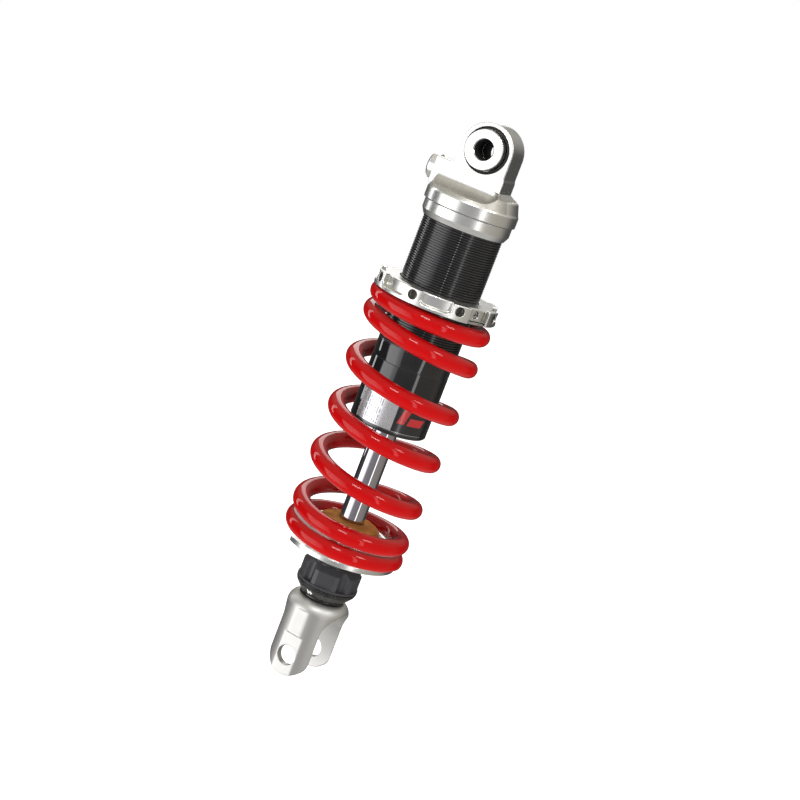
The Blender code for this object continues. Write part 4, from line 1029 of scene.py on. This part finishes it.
class SHOCK_OT_bump_stop(ShockOperator, bpy.types.Operator):
    """Build the foam bump stop"""

    bl_idname = "shock.bump_stop"
    bl_label = "Bump Stop"

    def execute(self, context):
        """Turns the domed stop and roughens it with small lumps."""
        radius, low, high = STOP_HIGH.x, STOP_LOW.z, STOP_HIGH.z
        columns, crown_rows = 144, 28
        bore = ROD_HIGH.x + 0.25 * MM
        rows = [(bore, low + 0.3 * MM), (bore + 0.5 * MM, low), (radius - 1.6 * MM, low),
                (radius - 1.0 * MM, low + 0.5 * MM)]
        rows += [(radius - 1.0 * MM + 0.6 * MM * i / 10, low + (0.5 + 9.0 * i / 10) * MM)
                 for i in range(1, 11)]
        start_height = low + 9.5 * MM
        for i in range(1, crown_rows + 1):
            share = math.radians(90 * i / crown_rows)
            out = bore + (radius - 0.4 * MM - bore) * math.cos(share) ** 0.55
            rows.append((out, start_height + (high - start_height) * math.sin(share) ** 0.9))
        rows.append((bore, high - 0.4 * MM))
        angle = np.linspace(0, 2 * np.pi, columns, endpoint=False)
        spin = np.random.default_rng(7)
        waves = [(spin.integers(2, 22), spin.uniform(150, 1500), spin.uniform(0, 6.28),
                  spin.uniform(0.05, 0.12)) for _ in range(14)]
        vertices = []
        for i, (r, z) in enumerate(rows):
            lumps = sum(size * np.sin(count * angle + rate * (z - r) + phase)
                        for count, rate, phase, size in waves)
            free = 1.0 if 4 <= i < len(rows) - 3 else 0.0
            out = r + np.clip(lumps, -0.4, 0.35) * free * MM
            up = z - np.clip(lumps, 0, 0.3) * free * 0.6 * MM
            vertices.append(np.stack([out * np.cos(angle), out * np.sin(angle), up], -1))
        faces = grid_faces(len(rows), columns, True, True)
        stop = mesh_object("foam_stop", np.concatenate(vertices), [face[::-1] for face in faces])
        dress(stop, "rod_assembly", "foam", bump_foam, "bump_stop")
        return {"FINISHED"}


class SHOCK_OT_spring_seat(ShockOperator, bpy.types.Operator):
    """Build the slotted lower spring seat"""

    bl_idname = "shock.spring_seat"
    bl_label = "Spring Seat"

    def execute(self, context):
        """Turns the flange and its wall, and mills the slot that lets it off the rod."""
        size = sizes()
        low, high = SEAT_LOW.z, SEAT_HIGH.z
        flange_top = SPRING_LOW.z - 0.3 * MM
        outer = 36.0 * MM
        wall_outer = SPRING_HIGH.y - 2 * size.wire_radius - 0.6 * MM
        wall_inner = wall_outer - 2.4 * MM
        bore = ROD_HIGH.x + 0.3 * MM
        turn = math.radians(199.5)
        edge = size.edge

        def field(x, y, z):
            radius = np.hypot(x, y)
            flange = round_max(edge, radius - outer, z - flange_top, low - z)
            wall = round_max(edge, radius - wall_outer, wall_inner - radius, z - high,
                             flange_top - 2 * MM - z)
            solid = round_min(0.6 * MM, flange, wall)
            solid = round_max(edge, solid, bore - radius)
            solid = np.maximum(solid, -np.maximum(radius - 10.8 * MM, z - low - 2.1 * MM))
            along = x * math.cos(turn) + y * math.sin(turn)
            across = np.abs(-x * math.sin(turn) + y * math.cos(turn))
            mouth = round_max(2.0 * MM, across - 18.0 * MM, STOP_HIGH.x - along)
            throat = np.maximum(across - bore, -along)
            return round_max(edge, solid, -np.minimum(mouth, throat))

        seat = field_mesh("spring_seat_cup", field, *span(outer, low, high), size.grid)
        dress(seat, "spring_seat", "bright_aluminium", machined_aluminium, "lower_spring_seat")
        return {"FINISHED"}


# Knob, mark ring and clevis

class SHOCK_OT_rebound_knob(ShockOperator, bpy.types.Operator):
    """Build the lobed rebound knob"""

    bl_idname = "shock.rebound_knob"
    bl_label = "Rebound Knob"

    def execute(self, context):
        """Cuts flat facets and scoops into a turned blank with a grooved rim."""
        size = sizes()
        low, high = KNOB_LOW.z, KNOB_HIGH.z
        rim, bore = KNOB_HIGH.x, 10.3 * MM
        corner = rim - 0.6 * MM
        lobe = 2 * math.pi / size.knob_lobes
        first, half_facet, side_facet = math.radians(14.5), math.radians(17), math.radians(22.5)
        edge = 0.25 * MM

        def field(x, y, z):
            radius = np.hypot(x, y)
            bearing = (np.arctan2(x, -y) - first + lobe / 2) % lobe - lobe / 2
            forward, across = radius * np.cos(bearing), np.abs(radius * np.sin(bearing))
            middle = forward - corner * math.cos(half_facet)
            side = (forward * math.cos(side_facet) + across * math.sin(side_facet)
                    - corner * math.cos(side_facet - half_facet))
            outside = np.maximum(middle, side)
            bevel = (outside + z - high + 3.4 * MM) * 0.7
            body = round_max(edge, outside, bevel, z - high)
            from_scoop = lobe / 2 - np.abs(bearing)
            from_axis = radius * np.cos(from_scoop) - corner - 0.8 * MM
            scoop = np.hypot(radius * np.sin(from_scoop), from_axis) - 3.5 * MM
            body = round_max(edge, body, -scoop, low + 1.2 * MM - z)
            disc = round_max(edge, radius - rim, z - low - 1.5 * MM)
            body = round_max(edge, np.minimum(body, disc), low - z)
            groove = np.hypot(radius - rim, z - low - 0.75 * MM) - 0.25 * MM
            body = np.maximum(body, -groove)
            dish = np.maximum(radius - 13.6 * MM, high - 1.2 * MM - z)
            return round_max(edge, body, -dish, bore - radius)

        knob = field_mesh("knob_body", field, *span(rim, low, high), 0.33 * MM)
        dress(knob, "rebound_knob", "black_plastic", knob_plastic, "rebound_knob")
        return {"FINISHED"}


class SHOCK_OT_mark_ring(ShockOperator, bpy.types.Operator):
    """Build the conical ring with its turning marks"""

    bl_idname = "shock.mark_ring"
    bl_label = "Mark Ring"

    def execute(self, context):
        """Turns the grooved cone and lays painted arrows on it."""
        high, outer = MARK_RING_HIGH.z, MARK_RING_HIGH.x
        foot, bore = CLEVIS_SHOULDER + 0.25 * MM, 10.3 * MM
        corners = [(outer - 0.1 * MM, high, 0.15 * MM)]
        for i in range(3):
            z = high - (0.55 + 0.75 * i) * MM
            r = outer - (0.05 + 0.30 * i) * MM
            corners += [(r, z + 0.12 * MM, 0.08 * MM), (r - 0.3 * MM, z - 0.1 * MM, 0.08 * MM),
                        (r - 0.12 * MM, z - 0.3 * MM, 0.08 * MM)]
        top_r, top_z = corners[-1][:2]
        foot_r, foot_z = 15.0 * MM, foot + 1.7 * MM
        corners += [(foot_r, foot_z, 0.4 * MM), (foot_r - 1.0 * MM, foot_z - 0.5 * MM, 0.4 * MM),
                    (foot_r - 0.8 * MM, foot, 0.2 * MM), (bore, foot, 0.2 * MM), (bore, high, 0.2 * MM)]
        ring = turned("mark_cone", corners, 128, 3)
        dress(ring, "rod_assembly", "black_plastic", black_ring, "indicator_ring")
        arrow = [(-1.5, -0.35), (-0.1, -0.35), (-0.1, -1.0), (1.3, 0.0), (-0.1, 1.0), (-0.1, 0.35),
                 (-1.5, 0.35)]
        bar = [(-0.35, -1.0), (0.35, -1.0), (0.35, 1.0), (-0.35, 1.0)]
        vertices, faces = [], []
        for shape, middle in ((arrow, -7.0), (bar, -13.5), (arrow, 140.0), (bar, 133.5)):
            start = len(vertices)
            for lift in (-0.05 * MM, 0.05 * MM):
                for across, up in shape:
                    share = 0.5 + up * 0.34
                    r = foot_r + (top_r - foot_r) * share + lift
                    z = foot_z + (top_z - foot_z) * share
                    angle = math.radians(middle) + across * 1.3 * MM / r
                    vertices.append((r * math.sin(angle), -r * math.cos(angle), z))
            count = len(shape)
            inner = range(start, start + count)
            faces += [[i + count for i in inner], list(reversed(inner))]
            faces += [[i, j, j + count, i + count] for i, j in zip(inner, (*inner[1:], start))]
        marks = mesh_object("turning_marks", vertices, faces)
        marks.data.set_sharp_from_angle(angle=math.radians(30))
        dress(marks, "rod_assembly", "label_film", mark_paint)
        return {"FINISHED"}


class SHOCK_OT_clevis(ShockOperator, bpy.types.Operator):
    """Build the clevis"""

    bl_idname = "shock.clevis"
    bl_label = "Clevis"

    def execute(self, context):
        """Mills the slot, flats, rounded ends and bolt holes into a turned blank."""
        size = sizes()
        radius_out, shoulder, shoulder_radius = 20.2 * MM, CLEVIS_SHOULDER, 8.0 * MM
        stem, slot_half, slot_top = 10.0 * MM, 14.0 * MM, 47.0 * MM
        end_radius, hole_height, hole = 15.0 * MM, 13.0 * MM, 6.3 * MM
        turn = math.radians(-4.5)
        edge, flat_edge, step_edge = 0.45 * MM, 0.4 * MM, 0.25 * MM
        steps = ((27.3 * MM, 19.1 * MM), (44.5 * MM, 19.75 * MM))
        top = CLEVIS_HIGH.z

        def field(x, y, z):
            side_x = x * math.cos(turn) + y * math.sin(turn)
            side_y = -x * math.sin(turn) + y * math.cos(turn)
            radius = np.hypot(x, y)
            blank = round_max(shoulder_radius, radius - radius_out, z - shoulder)
            groove = np.hypot(radius - 12.6 * MM, z - shoulder - 0.5 * MM) - 1.9 * MM
            blank = round_max(edge, blank, -groove)
            depth = np.abs(side_y)
            for step_top, face in steps:
                blank = round_max(step_edge, blank, -round_max(flat_edge, z - step_top, face - depth))
            arch = slot_top - slot_half
            slot = np.where(z < arch, depth, np.hypot(side_y, z - arch)) - slot_half
            blank = round_max(edge, blank, -slot)
            ends = np.where(z < end_radius, np.hypot(side_x, z - end_radius) - end_radius,
                            np.minimum(np.abs(side_x) - end_radius, -4 * MM))
            blank = round_max(edge, blank, ends)
            blank = round_max(flat_edge, blank, hole - np.hypot(side_x, z - hole_height))
            neck = np.maximum(radius - stem, np.maximum(z - top, 50 * MM - z))
            solid = np.minimum(blank, neck)
            bore = np.maximum(radius - 6.3 * MM, 52.5 * MM - z)
            return np.maximum(solid, -bore)

        clevis = field_mesh("clevis_fork", field, *span(21 * MM, CLEVIS_LOW.z, top), size.grid * 0.95)
        dress(clevis, "rod_assembly", "satin_aluminium", blasted_aluminium, "clevis")
        return {"FINISHED"}


# Pieces inside

class SHOCK_OT_inner_pieces(ShockOperator, bpy.types.Operator):
    """Give the pieces inside their finishes"""

    bl_idname = "shock.inner_pieces"
    bl_label = "Inner Pieces"

    def execute(self, context):
        """Puts a finish on each CAD node that stays as it is."""
        finishes = {
            "steel": ground_steel, "rubber": soft_rubber, "bright_aluminium": machined_aluminium,
            "black_anodised": plain_black, "bronze": bush_bronze, "black_plastic": knob_plastic,
            "chrome": hard_chrome,
        }
        slots = {part["node"]: part["material_slot"] for part in frame["record"]["subparts"]}
        for name, node in frame["nodes"].items():
            maker = finishes.get(slots[name])
            if maker:
                node.data.materials.clear()
                node.data.materials.append(material_of(maker))
                node.data.shade_smooth()
                node.data.set_sharp_from_angle(angle=math.radians(32))
        return {"FINISHED"}


# Stage

def heading(bearing, rise):
    """The way out from the shock at this bearing from its front, anticlockwise, and this rise."""
    return Vector((math.sin(bearing) * math.cos(rise), -math.cos(bearing) * math.cos(rise), math.sin(rise)))


class SHOCK_OT_stage(ShockOperator, bpy.types.Operator):
    """Build the floor, the lights and the camera"""

    bl_idname = "shock.stage"
    bl_label = "Stage"

    def execute(self, context):
        """Sets the camera, the pale floor, the surround and the soft lights, with plain colour handling."""
        context.scene.view_settings.view_transform = "Standard"
        self.camera(context)
        self.floor()
        self.sky(context)
        self.lights()
        return {"FINISHED"}

    def camera(self, context):
        """Looks from the front right and a little above, with the camera rolled."""
        distance, height = 1.0122, 0.4008
        azimuth, facing, pitch, roll = (math.radians(turn) for turn in (19.53, 19.53 - 0.09, 11.95, 20.99))
        place = heading(azimuth, 0.0) * distance + Vector((0, 0, height))
        forward = -heading(facing, pitch)
        level = Vector((math.cos(facing), math.sin(facing), 0.0))
        upright = level.cross(forward)
        right = math.cos(roll) * level + math.sin(roll) * upright
        up = -math.sin(roll) * level + math.cos(roll) * upright
        data = bpy.data.cameras.new("camera")
        data.sensor_width = 36.0
        data.lens = 76.2
        data.clip_start = 0.01
        camera = bpy.data.objects.new("camera", data)
        camera.matrix_world = Matrix((
            (right.x, up.x, -forward.x, place.x), (right.y, up.y, -forward.y, place.y),
            (right.z, up.z, -forward.z, place.z), (0, 0, 0, 1)))
        context.scene.collection.objects.link(camera)
        context.scene.camera = camera

    def floor(self):
        """A large pale disc far below the shock, which hangs from its eye."""
        bpy.ops.mesh.primitive_circle_add(vertices=64, radius=6.0, fill_type="NGON", location=(0, 0, -0.6))
        floor = bpy.context.object
        floor.name = "floor"
        floor.data.materials.append(stage_white())
        floor.visible_glossy = False

    def sky(self, context):
        """White in view, and for light and reflections a grey room with a bright window at the front left."""
        world = bpy.data.worlds.new("studio")
        context.scene.world = world
        world.use_nodes = True
        graph = Graph(world.node_tree)
        x, y, z = graph.parts(graph.node("ShaderNodeTexCoord"))
        bearing = x.math("ARCTAN2", 0 - y) / (2 * math.pi) + 0.5
        walls = graph.ramp(bearing, (
            (0.0, 0.06), (0.20, 0.05), (0.32, 0.10), (0.44, 0.40), (0.60, 0.30),
            (0.68, (0.42, 0.40, 0.35)), (0.84, (0.34, 0.32, 0.28)), (0.90, 0.06), (1.0, 0.06)))
        height = graph.ramp(z * 0.5 + 0.5, ((0.12, 0.0), (0.30, 1.0)))
        walls = graph.mix(height, (0.50, 0.49, 0.47), walls)
        ceiling = graph.ramp(z * 0.5 + 0.5, ((0.56, 0.0), (0.82, 1.0)))
        room = graph.mix(ceiling, walls, (0.64, 0.62, 0.56))
        across = graph.ramp(bearing, (
            (0.325, 0.0), (0.338, 1.0), (0.42, 0.95), (0.445, 0.52), (0.465, 0.40), (0.475, 0.0)))
        upward = graph.ramp(z * 0.5 + 0.5, ((0.14, 0.0), (0.22, 1.0), (0.58, 1.0), (0.64, 0.0)))
        room = graph.mix(across * upward, room, (2.9, 2.9, 2.9))
        studio = graph.node("ShaderNodeBackground", values={"Color": room})
        white = graph.node("ShaderNodeBackground", values={"Color": (1, 1, 1, 1)})
        seen = graph.node("ShaderNodeLightPath")
        mixed = graph.node("ShaderNodeMixShader", values={0: seen, 1: studio, 2: white})
        graph.fill(graph.nodes["World Output"].inputs["Surface"], mixed)

    def lights(self):
        """Tall windows to the left and right, and soft boxes above and behind."""
        for name, bearing, rise, distance, size, radiance in (
                ("left_window", -98, 8, 1.1, (0.16, 1.00), 3.0),
                ("right_window", 52, -2, 1.1, (0.15, 1.20), 2.4),
                ("front_box", 16, 44, 1.2, (0.30, 0.28), 14.0),
                ("side_box", 72, 40, 1.2, (0.28, 0.26), 10.0),
                ("back_box", -150, 35, 1.3, (0.50, 0.80), 2.5)):
            bearing, rise = math.radians(bearing), math.radians(rise)
            data = bpy.data.lights.new(name, "AREA")
            data.shape = "RECTANGLE"
            data.size, data.size_y = size
            data.energy = radiance * math.pi * size[0] * size[1]
            light = bpy.data.objects.new(name, data)
            away = heading(bearing, rise)
            light.location = away * distance + Vector((0, 0, 0.2))
            light.rotation_euler = (-away).to_track_quat("-Z", "Y").to_euler()
            bpy.context.scene.collection.objects.link(light)


PIECES = (
    SHOCK_OT_mount_head, SHOCK_OT_head_rings, SHOCK_OT_eye_bearing, SHOCK_OT_threaded_body,
    SHOCK_OT_body_label, SHOCK_OT_coil_spring, SHOCK_OT_preload_ring, SHOCK_OT_piston_rod, SHOCK_OT_bump_stop,
    SHOCK_OT_spring_seat, SHOCK_OT_rebound_knob, SHOCK_OT_mark_ring, SHOCK_OT_clevis, SHOCK_OT_inner_pieces,
    SHOCK_OT_stage,
)


class SHOCK_PT_panel(bpy.types.Panel):
    """The shock's settings and operators in the sidebar"""

    bl_idname = "SHOCK_PT_panel"
    bl_label = "Rear Shock Absorber"
    bl_space_type = "VIEW_3D"
    bl_region_type = "UI"
    bl_category = "Shock"

    def draw(self, context):
        """Lists the operators, then the settings."""
        for piece in PIECES:
            self.layout.operator(piece.bl_idname)
        for settings in (context.scene.shock_sizes, context.scene.shock_colours):
            for name in settings.bl_rna.properties.keys():
                if name not in {"rna_type", "name"}:
                    self.layout.prop(settings, name)


CLASSES = (ShockSizes, ShockColours, *PIECES, SHOCK_PT_panel)


def register():
    """Registers the classes and their settings."""
    for cls in CLASSES:
        bpy.utils.register_class(cls)
    bpy.types.Scene.shock_sizes = PointerProperty(type=ShockSizes)
    bpy.types.Scene.shock_colours = PointerProperty(type=ShockColours)


def unregister():
    """Undoes register."""
    del bpy.types.Scene.shock_colours
    del bpy.types.Scene.shock_sizes
    for cls in reversed(CLASSES):
        bpy.utils.unregister_class(cls)


def main():
    """Builds every piece in order."""
    register()
    for piece in PIECES:
        group, name = piece.bl_idname.split(".")
        getattr(getattr(bpy.ops, group), name)()


if __name__ == "__main__":
    main()
